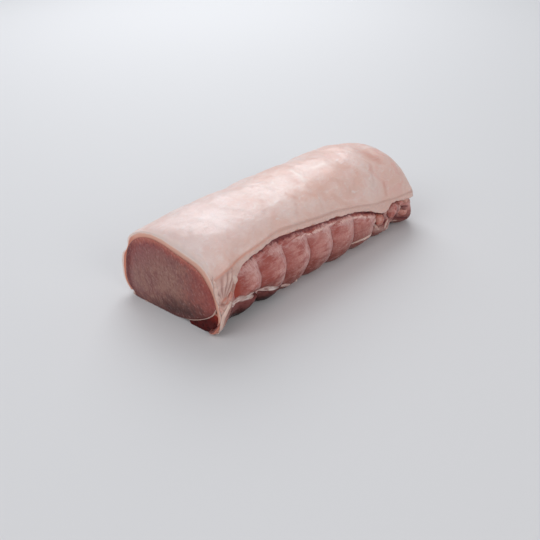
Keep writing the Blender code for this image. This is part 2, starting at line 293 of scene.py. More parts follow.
# %% Depth of the fat
TOP_FAT, NEAR_FAT = 0.0044, 0.0062
NEAR_FAT_ANGLE, NEAR_FAT_WIDTH = degrees(140, 28)
NEAR_FAT_LOSS, NEAR_FAT_RUN = 0.4, (0.0, 0.3 * RUN)
FAR_BARE, FAR_FAT_EDGE, FAR_THINNING_END = degrees(-30, -24, 12)
FAR_EDGE_SHARE = 0.55
FLAP_RUN, FLAP_DEPTH = (0.010, 0.021), 0.0030
FLAP_TOP, FLAP_FOOT = degrees(150, 176), degrees(203, 219)


def flap_share(along):
    """Share of the flap in how the meat is covered."""
    return 1.0 - smooth(along, *FLAP_RUN)


def fat_depth(along, angle):
    """Depth of the fat under the skin line."""
    thickened = bell(angle - NEAR_FAT_ANGLE, NEAR_FAT_WIDTH)
    thickened *= 1.0 - NEAR_FAT_LOSS * smooth(along, *NEAR_FAT_RUN)
    thinned = FAR_EDGE_SHARE + (1.0 - FAR_EDGE_SHARE) * smooth(angle, FAR_FAT_EDGE, FAR_THINNING_END)
    depth = (TOP_FAT + (NEAR_FAT - TOP_FAT) * thickened) * thinned * smooth(angle, FAR_BARE, FAR_FAT_EDGE)
    flap = smooth(angle, *FLAP_TOP) * flap_share(along)
    return (depth + (FLAP_DEPTH - depth) * flap) * (1.0 - smooth(angle, *FLAP_FOOT))


print(f"Fat over the middle is {1000 * fat_depth(RUN / 2, math.pi / 2):.1f} mm deep")

# %% [markdown]
# ## Hollow and ribs
#
# Below the fat's edge the meat lies a little further back, in a narrow hollow, and then swells out again
# between the marks that the ribs left. One swell could be copied along a straight line, but the marks
# curve. So the place along the loin is shifted by the height before the swell is worked out, and each
# rib comes from the same line of maths.

# %% Cover and ribs
RECESS, RECESS_REACH, WALL_RUN = 0.0022, 0.0055, (0.0, 0.024)
RIB_ROUNDNESS, RIB_LEAN = 0.65, 1.35
RIB_BEND, RIB_MIDDLE, RIB_SPREAD = 0.0040, 0.024, 0.016


def cover(along, angle, top):
    """Distance from the skin line in to the meat."""
    depth = fat_depth(along, angle)
    below = (angle - top) * NEAR_REACH
    bared = (depth + RECESS * bell(below, RECESS_REACH)) * (1.0 - smooth(below, *WALL_RUN))
    return bared + (depth - bared) * flap_share(along)


def rib(along, height):
    """Swell of the ribs, 0 in a groove and 1 on a crown. Grooves are arcs, and swells lean to the back."""
    bent = along + RIB_BEND * ((height - RIB_MIDDLE) / RIB_SPREAD) ** 2
    share = (bent - FIRST_GROOVE) / RIB_PITCH
    return math.sin(math.pi * (share - math.floor(share)) ** RIB_LEAN) ** RIB_ROUNDNESS


print(f"At mid height the fourth rib swells to {rib(FIRST_GROOVE + 2.6 * RIB_PITCH, RIB_MIDDLE):.2f}")

# %% Near wall and all the meat
RIB_DEPTH, RIBS_START, RIBS_END = 0.0042, (0.5 * RIB_PITCH, RIB_PITCH), (0.8 * RUN, 0.9 * RUN)
GROOVE_TOP, LUMPS_TOP = degrees(2, 22), degrees(0, 8)
WALL_END = math.radians(235)
END_LUMPS = (
    # place, height, radius and rise
    (0.178, 0.0190, 0.0070, 0.0022),
    (0.192, 0.0230, 0.0095, 0.0052),
    (0.210, 0.0100, 0.0090, 0.0045),
    (0.212, 0.0220, 0.0070, 0.0042),
)
END_CREASES = (
    # place, height, radius and fall
    (0.1875, 0.0130, 0.0050, 0.0042),
    (0.2010, 0.0150, 0.0055, 0.0048),
    (0.2020, 0.0270, 0.0040, 0.0024),
    (0.1930, 0.0020, 0.0080, 0.0050),
)


def wall_relief(along, angle, top, reach):
    """Ribs and lumps on the near wall, as a change of reach."""
    if angle <= top or angle > WALL_END:
        return 0.0
    height = AXIS_HEIGHT + reach * math.sin(angle)
    ribbed = smooth(along, *RIBS_START) * (1.0 - smooth(along, *RIBS_END)) * smooth(angle - top, *GROOVE_TOP)
    change = -RIB_DEPTH * (1.0 - rib(along, height)) * ribbed
    for place, level, radius, rise in END_LUMPS:
        change += rise * bell(math.hypot(along - place, height - level), radius)
    for place, level, radius, fall in END_CREASES:
        change -= fall * bell(math.hypot(along - place, height - level), radius)
    return change * smooth(angle - top, *LUMPS_TOP)


def meat(along, angle):
    """Reach of all the meat: the eye muscle with the strip muscle at its corner."""
    top = wall_top(along)
    reach = skin(along, angle) - cover(along, angle, top)
    return above_floor(reach + wall_relief(along, angle, top, reach), angle)


print(f"Half way along, the meat stands {1000 * meat(RUN / 2, math.pi):.1f} mm out on the ribbed side")

# %% [markdown]
# ## The eye's own corner
#
# The dark strip muscle fills the loin's lower near corner at the front, and the eye muscle is rounder
# there. A Boolean could cut the strip's place out of the eye, but the two muscles only lie against each
# other. So the eye follows a rounder quarter section at that corner, and the strip later fills what lies
# between it and the whole meat.

# %% Eye muscle's own corner
STRIP_EYE_FULLNESS, STRIP_FADE = 1.62, (0.040, 0.068)
SIDE = math.radians(181)


def eye(along, angle):
    """Reach of the eye muscle, whose lower near corner is rounder than the loin's."""
    whole = meat(along, angle)
    across, up = math.cos(angle), math.sin(angle)
    if across >= 0 or up >= 0:
        return whole
    wide = half_width(along, True) - tuck(along, SIDE) - cover(along, SIDE, wall_top(along))
    rounded = min(whole, quarter(across, up, wide, AXIS_HEIGHT, STRIP_EYE_FULLNESS))
    return rounded + (whole - rounded) * smooth(along, *STRIP_FADE)


print(f"The eye is {1000 * (eye(0.1, 0.0) + eye(0.1, math.pi)):.0f} mm wide in the middle")

# %% [markdown]
# ## The outside of the fat, and a place in space
#
# Along the far side the fat has a long shallow notch, and at its back near corner a small lobe hangs
# over the meat. Both are added to the skin line. One last rule turns a place, an angle and a reach into
# a point. It also shears the front, because the butcher's first cut went through the loin neither square
# nor upright.

# %% Outside of the fat, and the turned front
NOTCH_ANGLE, NOTCH_WIDTH = degrees(20, 7)
NOTCH_DEPTH, NOTCH_LOSS, NOTCH_RUN = 0.0040, 0.75, (0.0, 0.085)
TAIL_LOBE, TAIL_PLACE, TAIL_ANGLE, TAIL_SIZE = 0.0040, 0.2125, math.radians(176), 0.0085
FRONT_TURN, FRONT_LEAN, FRONT_FADE = 0.14, math.tan(math.radians(5)), (0.0, 0.6 * RUN)


def fat_outside(along, angle):
    """Outer reach of the fat, notched along the far side and with a lobe at its back near corner."""
    notch = bell(angle - NOTCH_ANGLE, NOTCH_WIDTH) * (1.0 - NOTCH_LOSS * smooth(along, *NOTCH_RUN))
    lobe = bell(math.hypot(along - TAIL_PLACE, (angle - TAIL_ANGLE) * NEAR_REACH), TAIL_SIZE)
    return skin(along, angle) - NOTCH_DEPTH * notch + TAIL_LOBE * lobe


def ray_place(along, angle, reach):
    """Point at a reach and an angle, with the front face turned and leaning."""
    y, z = reach * math.cos(angle), AXIS_HEIGHT + reach * math.sin(angle)
    front = 1.0 - smooth(along, *FRONT_FADE)
    return Vector((along - front * (FRONT_TURN * y - FRONT_LEAN * z), y, z))


def locate(along, angle, reach):
    """The same point, but never below the floor."""
    point = ray_place(along, angle, reach)
    point.z = max(point.z, 0.0)
    return point


front_shift = locate(0.0, math.pi, NEAR_REACH).x - locate(0.0, 0.0, FAR_REACH).x
print(f"The near side of the front face lies {1000 * front_shift:.0f} mm further back than the far side")

# %% [markdown]
# ## Notes on each vertex
#
# The finishes need to know where on the loin they are: how far below the fat's edge, how deep in the
# fat, or how near to a cut. A mesh can carry such numbers as attributes, one for each vertex, and a
# material reads them by name. They stay right when the vertex moves, which a pattern in space would not.

# %% Vertex notes
NOTES = ("along", "angle", "depth", "edge", "cut", "groove", "crease", "pale", "dark", "warm", "fan")


def note_layers(bm):
    """One float layer for each note."""
    return {note: bm.verts.layers.float.new(note) for note in NOTES}


def write_notes(vert, layers, **values):
    """Keep the given notes on a vertex."""
    for note, value in values.items():
        vert[layers[note]] = value


print("Each vertex carries:", ", ".join(NOTES))

# %% [markdown]
# ## Sections along the loin
#
# The surfaces are drawn section by section. A millimetre between sections is fine enough for the ribs,
# but the skin rolls over tightly at both cuts, so the sections there lie closer together. That spends
# points where the form turns, which dividing the whole mesh once more would not.

# %% Sections, closer together near both cuts
FINE = STEP / 4
EASED = 10
SECTIONS = round(RUN / FINE) + EASED


def slack(count):
    """What the closer spacing saves over a number of sections from an end, in full spacings."""
    count = min(count, EASED)
    return count - count * count / (2 * EASED)


def station(index):
    """Place of a section along the loin."""
    return FINE * (index - slack(index) + slack(SECTIONS - index) - EASED / 2)


print(f"{SECTIONS} sections, {1000 * station(1):.2f} mm apart at the cuts and {1000 * FINE:.2f} mm between")

# %% [markdown]
# ## The eye muscle
#
# The muscle is one closed body with two cut ends, so it can be a ball that is drawn out: the ball's
# rings near each pole become rings of the cut faces, and the rings between them become sections of the
# loin. A ball has no seams to close, and every ring has the same number of points. More of them go to
# the ribbed wall, where most shows.

# %% Columns and domes of the eye muscle
WALL_COLUMNS, COVERED_COLUMNS, UNDER_COLUMNS = 92, 56, 52
WALL_FOOT, WALL_TOP_LIMIT = degrees(217, 176)
FRONT_DOME, BACK_DOME, DOME_UNEVENNESS, DOME_TURN = 0.0016, 0.0030, 0.25, 0.6


def eye_angle(along, column):
    """Angle of one column: up the ribbed wall, under the fat, then across the base."""
    top = min(wall_top(along), WALL_TOP_LIMIT)
    if column < WALL_COLUMNS:
        return WALL_FOOT + (top - WALL_FOOT) * column / WALL_COLUMNS
    column -= WALL_COLUMNS
    if column < COVERED_COLUMNS:
        return top + (FAR_FAT_EDGE - top) * column / COVERED_COLUMNS
    column -= COVERED_COLUMNS
    angle = FAR_FAT_EDGE + (WALL_FOOT - math.tau - FAR_FAT_EDGE) * column / UNDER_COLUMNS
    return angle if angle > -math.pi / 2 else angle + math.tau


def dome(height, share, angle):
    """Dome of a cut face at a share of its radius, with a slow unevenness."""
    return height * (1.0 - share**3) * (1.0 + DOME_UNEVENNESS * math.cos(2.0 * angle + DOME_TURN) * share)


print(f"Domes: {1000 * FRONT_DOME:.1f} mm on the front cut and {1000 * BACK_DOME:.1f} mm on the back one")

# %% Eye muscle, plain
FACE_RINGS = 34


def plain_eye():
    """The eye muscle's smooth form, with its notes."""
    columns = WALL_COLUMNS + COVERED_COLUMNS + UNDER_COLUMNS
    rings = SECTIONS + 2 * FACE_RINGS
    bm = bmesh.new()
    bmesh.ops.create_uvsphere(bm, u_segments=columns, v_segments=rings, radius=1.0)
    layers = note_layers(bm)
    for vert in bm.verts:
        ring = round(math.acos(max(min(vert.co.z, 1.0), -1.0)) / math.pi * rings)
        column = round(math.atan2(vert.co.y, vert.co.x) % math.tau / math.tau * columns) % columns
        along = station(min(max(ring - FACE_RINGS, 0), SECTIONS))
        share = min(ring / FACE_RINGS, (rings - ring) / FACE_RINGS, 1.0)
        height = -FRONT_DOME if ring < rings / 2 else BACK_DOME
        angle = eye_angle(along, column)
        reach = eye(along, angle)
        vert.co = locate(along, angle, reach * share)
        vert.co.x += dome(height, share, angle)
        top = wall_top(along)
        groove = 1.0 - rib(along, vert.co.z) if top < angle < WALL_END else 0.0
        write_notes(vert, layers, along=along, angle=angle, depth=share, edge=(angle - top) * NEAR_REACH)
        write_notes(vert, layers, cut=float(ring <= FACE_RINGS or ring >= rings - FACE_RINGS), groove=groove)
    return bm


eye_bm = plain_eye()
print(f"Eye muscle: {len(eye_bm.faces)} faces")

# %% [markdown]
# ## Layers
#
# The fat and the strip muscle are both layers: a sheet of points drawn onto the meat, and a second sheet
# above it. The operator that extrudes a face region makes the second sheet and the narrow sides between
# them in one call. The sides are divided, because they are cut edges that show, as the pale band round
# the cut face and along the ribs.

# %% Layer helper
SIDE_CUTS = 5
TOUCH = 0.0002


def plain_layer(places, columns, angle_at, outside, inside):
    """A closed layer between two reaches, with its notes. Depth is 0 on the outside and 1 on the inside."""
    bm = bmesh.new()
    bmesh.ops.create_grid(bm, x_segments=len(places) - 1, y_segments=columns, size=1.0)
    layers = note_layers(bm)
    inner = list(bm.verts)
    grown = bmesh.ops.extrude_face_region(bm, geom=list(bm.faces))["geom"]
    outer = [item for item in grown if isinstance(item, bmesh.types.BMVert)]
    for sheet, reach_at, depth in ((inner, inside, 1.0), (outer, outside, 0.0)):
        for vert in sheet:
            along = places[round((vert.co.x + 1.0) / 2.0 * (len(places) - 1))]
            share = round((vert.co.y + 1.0) / 2.0 * columns) / columns
            angle = angle_at(along, share)
            vert.co = locate(along, angle, reach_at(along, angle, share))
            write_notes(vert, layers, along=along, angle=angle, depth=depth, cut=share)
            write_notes(vert, layers, edge=(fat_edge(along) - angle) * NEAR_REACH)
            write_notes(vert, layers, crease=(angle - crease(along)) * NEAR_REACH)
    sides = [edge for edge in bm.edges if edge.verts[0][layers["depth"]] != edge.verts[1][layers["depth"]]]
    bmesh.ops.subdivide_edges(bm, edges=sides, cuts=SIDE_CUTS, use_grid_fill=False)
    bmesh.ops.recalc_face_normals(bm, faces=bm.faces)
    if bm.calc_volume(signed=True) < 0:
        bmesh.ops.reverse_faces(bm, faces=bm.faces)
    return bm


print(f"The cut edges of a layer are {SIDE_CUTS + 1} faces deep")

# %% [markdown]
# ## Back fat
#
# The fat runs the whole length, from its ragged near edge over the top to the thin edge on the far side.
# An edge made by a knife in soft fat is never a clean line, so noise moves it by up to a millimetre.
# More than half of the columns lie between that edge and the shoulder, because the crease and the folds
# of the flap are there.

# %% Noise with finer and finer octaves
def fractal(point, octaves):
    """Noise whose every octave is half the size and half the height of the one before."""
    return noise.fractal(point, 1.0, 2.0, octaves)


print(f"At one place the noise is {fractal(Vector((0.3, 0.2, 0.1)), 3):.2f}")

# %% Back fat, plain
FAT_COLUMNS, EDGE_COLUMNS = 144, 76
SHOULDER, EDGE_TO_SHOULDER = degrees(126, 4)
THINNEST_FAT = 0.0012
RAGGED, RAGGED_SIZE, RAGGED_RUN = 0.0011, 0.0052, (0.018, 0.032)


def fat_angle(along, share):
    """Angle of a column of the fat, closer together between its near edge and the shoulder."""
    ragged = RAGGED * fractal(Vector((along / RAGGED_SIZE, 0.0, 0.0)), 3)
    edge = fat_edge(along) + ragged * smooth(along, *RAGGED_RUN) / NEAR_REACH
    shoulder = min(SHOULDER, edge - EDGE_TO_SHOULDER)
    turned = share * FAT_COLUMNS / EDGE_COLUMNS
    if turned < 1.0:
        return edge + (shoulder - edge) * turned
    return shoulder + (FAR_FAT_EDGE - shoulder) * (turned - 1.0) / (FAT_COLUMNS / EDGE_COLUMNS - 1.0)


def fat_inside(along, angle, share):
    """Inner reach of the fat, just into the meat so that no gap shows."""
    return meat(along, angle) - TOUCH


def fat_top(along, angle, share):
    """Outer reach of the fat, never thinner than the least that holds together."""
    return max(fat_outside(along, angle), fat_inside(along, angle, share) + THINNEST_FAT)


stations = [station(index) for index in range(SECTIONS + 1)]
fat_bm = plain_layer(stations, FAT_COLUMNS, fat_angle, fat_top, fat_inside)
print(f"Back fat: {len(fat_bm.faces)} faces")

# %% [markdown]
# ## Strip muscle
#
# The strip fills the wedge between the rounder eye and the loin's corner, and runs out some way along
# the ribs. It is the same kind of layer: its inside follows the eye, and its outside is the whole meat.
# Towards its far end it sinks into the eye, so that no step shows where it ends.

# %% Strip muscle, plain
STRIP_SECTIONS, STRIP_COLUMNS = 68, 40
STRIP_TOP, STRIP_UNDER = degrees(187, 199), degrees(233, 224)
STRIP_RISE, STRIP_SINK, STRIP_END, STRIP_ROUND = 0.0019, 0.0006, 8, 0.12


def strip_angle(along, share):
    """Angle of a column of the strip, from its top edge to its edge under the loin."""
    back = smooth(along, 0.0, station(STRIP_SECTIONS))
    top = STRIP_TOP[0] + (STRIP_TOP[1] - STRIP_TOP[0]) * back
    under = STRIP_UNDER[0] + (STRIP_UNDER[1] - STRIP_UNDER[0]) * back
    return top + (under - top) * share


def strip_inside(along, angle, share):
    """Inner reach of the strip, just into the eye muscle."""
    return eye(along, angle) - STRIP_SINK


def strip_outside(along, angle, share):
    """Outer reach of the strip, which sinks into the eye muscle at the far end."""
    fade = smooth(station(STRIP_SECTIONS) - along, 0.0, station(STRIP_END))
    swell = (STRIP_RISE + STRIP_SINK) * smooth(share, 0.0, STRIP_ROUND) * fade + TOUCH
    return max(meat(along, angle) - STRIP_SINK * (1.0 - fade), strip_inside(along, angle, share) + swell)


strip_stations = stations[: STRIP_SECTIONS + 1]
strip_bm = plain_layer(strip_stations, STRIP_COLUMNS, strip_angle, strip_outside, strip_inside)
print(f"Strip muscle: {len(strip_bm.faces)} faces")

# %% [markdown]
# ## Marks of the knife
#
# Besides its even texture, this loin has marks that are its own: folds, creases, pale patches, and red
# hollows, each in one place. They could be painted by hand. Here each is a short line with a soft edge,
# written in millimetres and degrees, which lifts or sinks the surface and notes a tint for the finish.

# %% Marks of the knife
# A mark's dark tint is painted shade, laid in its hollow or crease.
FLAP_MARKS = (
    # place in mm and degrees at both ends, half width and height in mm, then how pale, dark and warm
    (1.4, 176.0, 2.4, 177.0, 1.00, -1.2, 0.0, 0.9, 0.7),
    (4.6, 171.0, 2.0, 173.0, 0.80, -0.4, 0.0, 0.1, 1.0),
    (6.8, 183.0, 3.8, 192.0, 2.00, 0.0, 0.0, 0.5, 0.0),
    (12.2, 163.0, 10.5, 172.0, 1.20, -0.8, 0.0, 0.4, 0.5),
    (2.4, 153.5, 0.2, 152.0, 3.00, 0.0, 0.2, 0.0, 0.3),
)
TOP_MARKS = (
    # a white fold, its pale tint partly a painted highlight, with a shallow groove beside it, pale and grey
    # patches, rosy places and fine red creases
    (118.0, 86.0, 114.0, 108.0, 2.20, 0.35, 0.7, 0.0, 0.0),
    (110.5, 88.0, 107.0, 106.0, 1.90, -0.15, 0.0, 0.06, 0.12),
    (132.0, 97.0, 141.0, 99.0, 2.60, 0.10, 0.6, 0.0, 0.0),
    (185.0, 104.0, 189.0, 119.0, 4.50, 0.0, 0.0, 0.0, 0.45),
    (177.0, 121.0, 167.0, 143.0, 1.90, -0.10, 0.0, 0.0, 0.3),
    (180.5, 145.0, 179.0, 157.0, 1.70, -0.1, 0.0, 0.05, 0.3),
    (69.0, 107.0, 60.0, 122.0, 1.40, -0.15, 0.0, 0.1, 0.08),
    (171.0, 136.0, 166.0, 146.0, 3.20, 0.0, 0.3, 0.0, 0.0),
    (40.0, 96.0, 52.0, 118.0, 1.40, -0.10, 0.0, 0.06, 0.06),
    (92.0, 120.0, 84.0, 134.0, 1.50, -0.1, 0.0, 0.05, 0.12),
)
WALL_MARKS = (
    # the red hollow behind the flap, then hollows and tints between the lumps at the back end
    (20.5, 170.0, 21.5, 187.0, 3.40, -0.4, 0.0, 0.2, 1.0),
    (158.5, 169.0, 164.0, 172.0, 1.10, -0.6, 0.0, 0.9, 0.0),
    (180.4, 183.5, 182.6, 188.5, 1.30, -1.8, 0.0, 1.0, 0.0),
    (183.0, 189.0, 188.5, 190.5, 1.30, -1.0, 0.0, 0.5, 0.8),
    (189.0, 189.5, 193.6, 197.0, 1.90, -1.8, 0.0, 1.0, 0.0),
    (191.4, 184.0, 192.0, 174.0, 1.40, -1.8, 0.0, 1.0, 0.0),
    (195.0, 200.5, 207.0, 202.5, 1.60, -0.8, 0.0, 1.0, 0.0),
    (200.0, 174.0, 208.0, 184.0, 3.50, 0.0, 0.3, 0.0, 0.5),
    (171.0, 201.0, 182.0, 203.0, 2.40, 0.0, 0.4, 0.0, 0.0),
    (183.0, 197.0, 190.0, 203.0, 2.50, 0.0, 0.5, 0.0, 0.1),
    (177.4, 179.0, 177.8, 194.0, 0.90, -0.8, 0.0, 0.9, 0.3),
    (200.5, 190.0, 207.0, 188.5, 1.00, -0.9, 0.0, 0.8, 0.0),
)


def marked(vert, layers, marks):
    """Height of the marks at a vertex, whose tints are noted on it."""
    here = Vector((vert[layers["along"]], vert[layers["angle"]] * NEAR_REACH))
    rise, tints = 0.0, [0.0, 0.0, 0.0]
    for from_along, from_angle, to_along, to_angle, half_width, height, *strengths in marks:
        start = Vector((from_along / 1000, math.radians(from_angle) * NEAR_REACH))
        run = Vector((to_along / 1000, math.radians(to_angle) * NEAR_REACH)) - start
        share = min(max((here - start).dot(run) / run.length_squared, 0.0), 1.0)
        near = bell((here - start - share * run).length, half_width / 1000)
        rise += height / 1000 * near
        tints = [max(tint, strength * near) for tint, strength in zip(tints, strengths)]
    write_notes(vert, layers, pale=tints[0], dark=tints[1], warm=tints[2])
    return rise


print(f"{len(FLAP_MARKS)} marks on the flap, {len(TOP_MARKS)} on the top and {len(WALL_MARKS)} on the wall")

# %% [markdown]
# ## Relief
#
# Fresh meat has no flat spot. Each form is now pushed in and out along its normals by a sum of patterns:
# cloudy noise of several sizes, streaks that run across the ribs, and the marks above. A displacement in
# the material would show only in the render. Moving real vertices keeps the unevenness in the outline
# and in the mesh itself.

# %% Relief helpers
def relieve(bm, change):
    """Move every vertex along its normal by what change(vertex) gives, and keep it above the floor."""
    bm.normal_update()
    moves = [(vert, vert.co + vert.normal * change(vert)) for vert in bm.verts]
    for vert, place in moves:
        vert.co = (place.x, place.y, max(place.z, 0.0))


def uneven(point, size, seed=0.0, octaves=4):
    """Cloudy unevenness from about -1 to 1, with features of a given size."""
    return fractal(point / size + Vector((seed, -seed, 0.5 * seed)), octaves)


print(f"Unevenness at the top of the loin's middle: {uneven(Vector((0.1, 0.0, HEIGHT)), 0.02):.2f}")

# %% Relief of the eye muscle
FACE_LUMP, FACE_LUMP_SIZE, FACE_RIM = 0.00022, 0.0070, 0.06
WALL_LUMP, WALL_LUMP_SIZE = 0.00055, 0.0105
GRAIN, GRAIN_LONG, GRAIN_SHORT, GRAIN_SEED = 0.00022, 0.0085, 0.0026, 4.0
GROOVE_CUT, GROOVE_RISE, BARE_RUN = 0.0002, (0.70, 0.97), (0.0, 0.0016)
MEMBRANE, MEMBRANE_EDGE, MEMBRANE_WIDTH = 0.0012, 0.0052, 0.0014
MEMBRANE_RAGGED, MEMBRANE_PATCH = 0.0014, 0.0060
WALL_FADE, WALL_START, END_START = degrees(212, 217), 0.036, 0.150


def eye_relief(vert, layers):
    """Lumps on the cut faces, and lumps, streaks and creases on the ribbed wall."""
    point, along, angle, edge = (vert.co, *(vert[layers[note]] for note in ("along", "angle", "edge")))
    rim_share = 1.0 - vert[layers["depth"]]
    if rim_share > 0.0:
        return FACE_LUMP * uneven(point, FACE_LUMP_SIZE) * smooth(rim_share, 0.0, FACE_RIM)
    if edge <= 0.0 or angle > WALL_END:
        return 0.0
    bent = along + RIB_BEND * ((point.z - RIB_MIDDLE) / RIB_SPREAD) ** 2
    streak = fractal(Vector((bent / GRAIN_SHORT, point.z / GRAIN_LONG, GRAIN_SEED)), 3)
    change = WALL_LUMP * uneven(point, WALL_LUMP_SIZE, seed=3.0) + GRAIN * streak
    change -= GROOVE_CUT * smooth(vert[layers["groove"]], *GROOVE_RISE)
    ragged = edge - MEMBRANE_EDGE - MEMBRANE_RAGGED * uneven(point, MEMBRANE_PATCH, seed=8.0)
    torn = max(uneven(point, MEMBRANE_PATCH / 2.0, seed=15.0), 0.0)
    change += MEMBRANE * bell(ragged, MEMBRANE_WIDTH) * torn * (1.0 - vert[layers["groove"]])
    if along < WALL_START or along > END_START:
        change += marked(vert, layers, WALL_MARKS)
    bare = smooth((angle - fat_edge(along)) * NEAR_REACH, *BARE_RUN)
    return change * bare * (1.0 - smooth(angle, *WALL_FADE))


eye_layers = {note: eye_bm.verts.layers.float[note] for note in NOTES}
relieve(eye_bm, lambda vert: eye_relief(vert, eye_layers))
print(f"The ribbed wall's lumps are {1000 * WALL_LUMP_SIZE:.1f} mm across")

# %% [markdown]
# ## Fan of folds on the flap
#
# At the front near corner the fat was pulled down over the meat, and it gathered there in a fan of folds
# that meet low at the front, as cloth does at a pin. Cloth simulation could gather it, but not into this
# fan. So the angle about the meeting point, counted in folds, gives a wave across the flap, and slow
# noise lets the folds wander.

# %% Fan of folds
FAN_FOCUS, FAN_START, FAN_SPACING = (0.0022, math.radians(175)), math.radians(2), math.radians(17)
FAN_NEAR, FAN_WIDE, FAN_FOOT = (0.0010, 0.0070), (0.0100, 0.0135), (0.0, 0.002)
FAN_WANDER, FAN_PATCH, FAN_SEED = 0.45, 0.0080, 2.0
BARELY_UP = 1e-6


def fan(along, angle):
    """Place in the fan of folds, counted in folds, and how deep they are there."""
    across, up = along - FAN_FOCUS[0], (FAN_FOCUS[1] - angle) * NEAR_REACH
    depth = smooth(math.hypot(across, up), *FAN_NEAR) * (1.0 - smooth(along, *FAN_WIDE))
    depth *= smooth(up, *FAN_FOOT)
    wander = FAN_WANDER * noise.noise(Vector((along / FAN_PATCH, angle * NEAR_REACH / FAN_PATCH, FAN_SEED)))
    return (math.atan2(across, max(up, BARELY_UP)) - FAN_START) / FAN_SPACING + wander, depth


print(f"About {math.pi / 2 / FAN_SPACING:.0f} folds in a quarter turn")

# %% Relief of the back fat
FAT_SWELL, FAT_SWELL_SIZE, FAT_RIPPLE, FAT_RIPPLE_SIZE = 0.00065, 0.022, 0.00030, 0.0060
CREASE_CUT, CREASE_WIDTH, CREASE_LIP, LIP_PLACE, LIP_WIDTH = 0.00030, 0.0007, 0.00035, -0.0015, 0.0011
CUT_EDGE, BEVEL, BEVEL_RUN = 0.0048, 0.0007, (0.020, 0.028)
FLAP_END, END_KEPT = 0.020, 0.0009
FAN_DEPTH, FAN_TOP = 0.0009, 0.003


def fat_relief(vert, layers):
    """Swells and ripples on the skin side, the crease of the cut, and the folds and marks of the flap."""
    point, along, angle = vert.co, vert[layers["along"]], vert[layers["angle"]]
    below = vert[layers["crease"]]
    swell = FAT_SWELL * uneven(point, FAT_SWELL_SIZE, seed=5.0, octaves=2)
    change = swell + FAT_RIPPLE * uneven(point, FAT_RIPPLE_SIZE, seed=7.0)
    change -= CREASE_CUT * bell(below, CREASE_WIDTH)
    change += CREASE_LIP * bell(below - LIP_PLACE, LIP_WIDTH)
    change -= BEVEL * smooth(below, 0.0, CUT_EDGE) * smooth(along, *BEVEL_RUN)
    if along < FLAP_END:
        change += marked(vert, layers, FLAP_MARKS)
        folds, depth = fan(along, angle)
        depth *= smooth(below, 0.0, FAN_TOP)
        change -= FAN_DEPTH * depth * math.cos(math.pi * folds) ** 2
        write_notes(vert, layers, fan=folds, groove=depth)
    else:
        change += marked(vert, layers, TOP_MARKS)
    return change * (1.0 - vert[layers["depth"]]) * smooth(min(along, RUN - along), 0.0, END_KEPT)


fat_layers = {note: fat_bm.verts.layers.float[note] for note in NOTES}
relieve(fat_bm, lambda vert: fat_relief(vert, fat_layers))
print(f"The fat swells over {1000 * FAT_SWELL_SIZE:.0f} mm and ripples over {1000 * FAT_RIPPLE_SIZE:.0f} mm")

# %% [markdown]
# ## Relief of the strip muscle
#
# The strip is soft and wet, with no threads to see, so its relief is one size of lumps. The ribs pressed
# it too. A second rule for its grooves could drift from the first, so the same rib rule cuts them, and
# they meet the eye muscle's own.

# %% Relief of the strip muscle
STRIP_LUMP, STRIP_LUMP_SIZE, STRIP_GROOVE = 0.00040, 0.0060, 0.0022


def strip_relief(vert, layers):
    """Wet lumps over the strip, between the ribs' grooves."""
    along = vert[layers["along"]]
    groove = STRIP_GROOVE * (1.0 - rib(along, vert.co.z)) * smooth(along, *RIBS_START)
    return (STRIP_LUMP * uneven(vert.co, STRIP_LUMP_SIZE, seed=11.0) - groove) * (1.0 - vert[layers["depth"]])


strip_layers = {note: strip_bm.verts.layers.float[note] for note in NOTES}
relieve(strip_bm, lambda vert: strip_relief(vert, strip_layers))
print(f"The strip's grooves are {1000 * STRIP_GROOVE:.1f} mm deep")

# %% [markdown]
# ## Finding a finished surface
#
# What lies on the meat has to lie on it as the relief has left it, and the rules above no longer say
# where that is. The Shrinkwrap modifier could pull a piece down to it, but a rule for the reach fits the
# helpers above. So a ray is cast inwards at every place and angle, and the point that it lands on gives
# the reach.

# %% Reach of a finished surface
RAY_START = 0.09


def reach_finder(*forms):
    """A rule for the reach of the outermost of several finished forms."""
    trees = [BVHTree.FromBMesh(bm) for bm in forms]

    def reach_at(along, angle):
        start, stop = ray_place(along, angle, RAY_START), ray_place(along, angle, 0.0)
        hits = [tree.ray_cast(start, (stop - start).normalized())[0] for tree in trees]
        return max((math.hypot(hit.y, hit.z - AXIS_HEIGHT) for hit in hits if hit), default=0.0)

    return reach_at


over_meat = reach_finder(eye_bm, strip_bm)
over_all = reach_finder(eye_bm, strip_bm, fat_bm)
print(f"The fourth rib's crown stands at {1000 * over_meat(FIRST_GROOVE + 2.6 * RIB_PITCH, math.pi):.1f} mm")

# %% [markdown]
# ## Silverskin
#
# A thin white membrane, the silverskin, lies over the join between the eye and the strip muscle, and the
# knife has gathered it there in folds. It could be painted on, but its folds stand a little proud and
# catch the light, so it is a layer too: a ribbon with waves along both edges, which bridges the small
# steps below it as a real membrane does.

# %% Silverskin ribbons
FILM_COLUMNS, FILM_STEP, FILM_LIFT, FILM_FOLD, FILM_TWIST = 20, 0.0005, 0.00050, 0.00028, 20.0
FILM_TIP, FILM_WANDER, FILM_WANDER_SIZE, FILM_SEEDS = 0.08, 0.40, 0.006, (3.0, 9.0)
SPREAD_ALONG, SPREAD_ROUND = 0.0009, math.radians(1.4)
FILMS = (
    # start, end, angle at each, half width, folds
    (0.0125, 0.0362, *degrees(187.0, 190.0), 0.0026, 1.6),
    (0.0385, 0.0590, *degrees(193.0, 197.0), 0.0014, 1.0),
    (0.0650, 0.0745, *degrees(205.0, 207.0), 0.0016, 1.0),
)


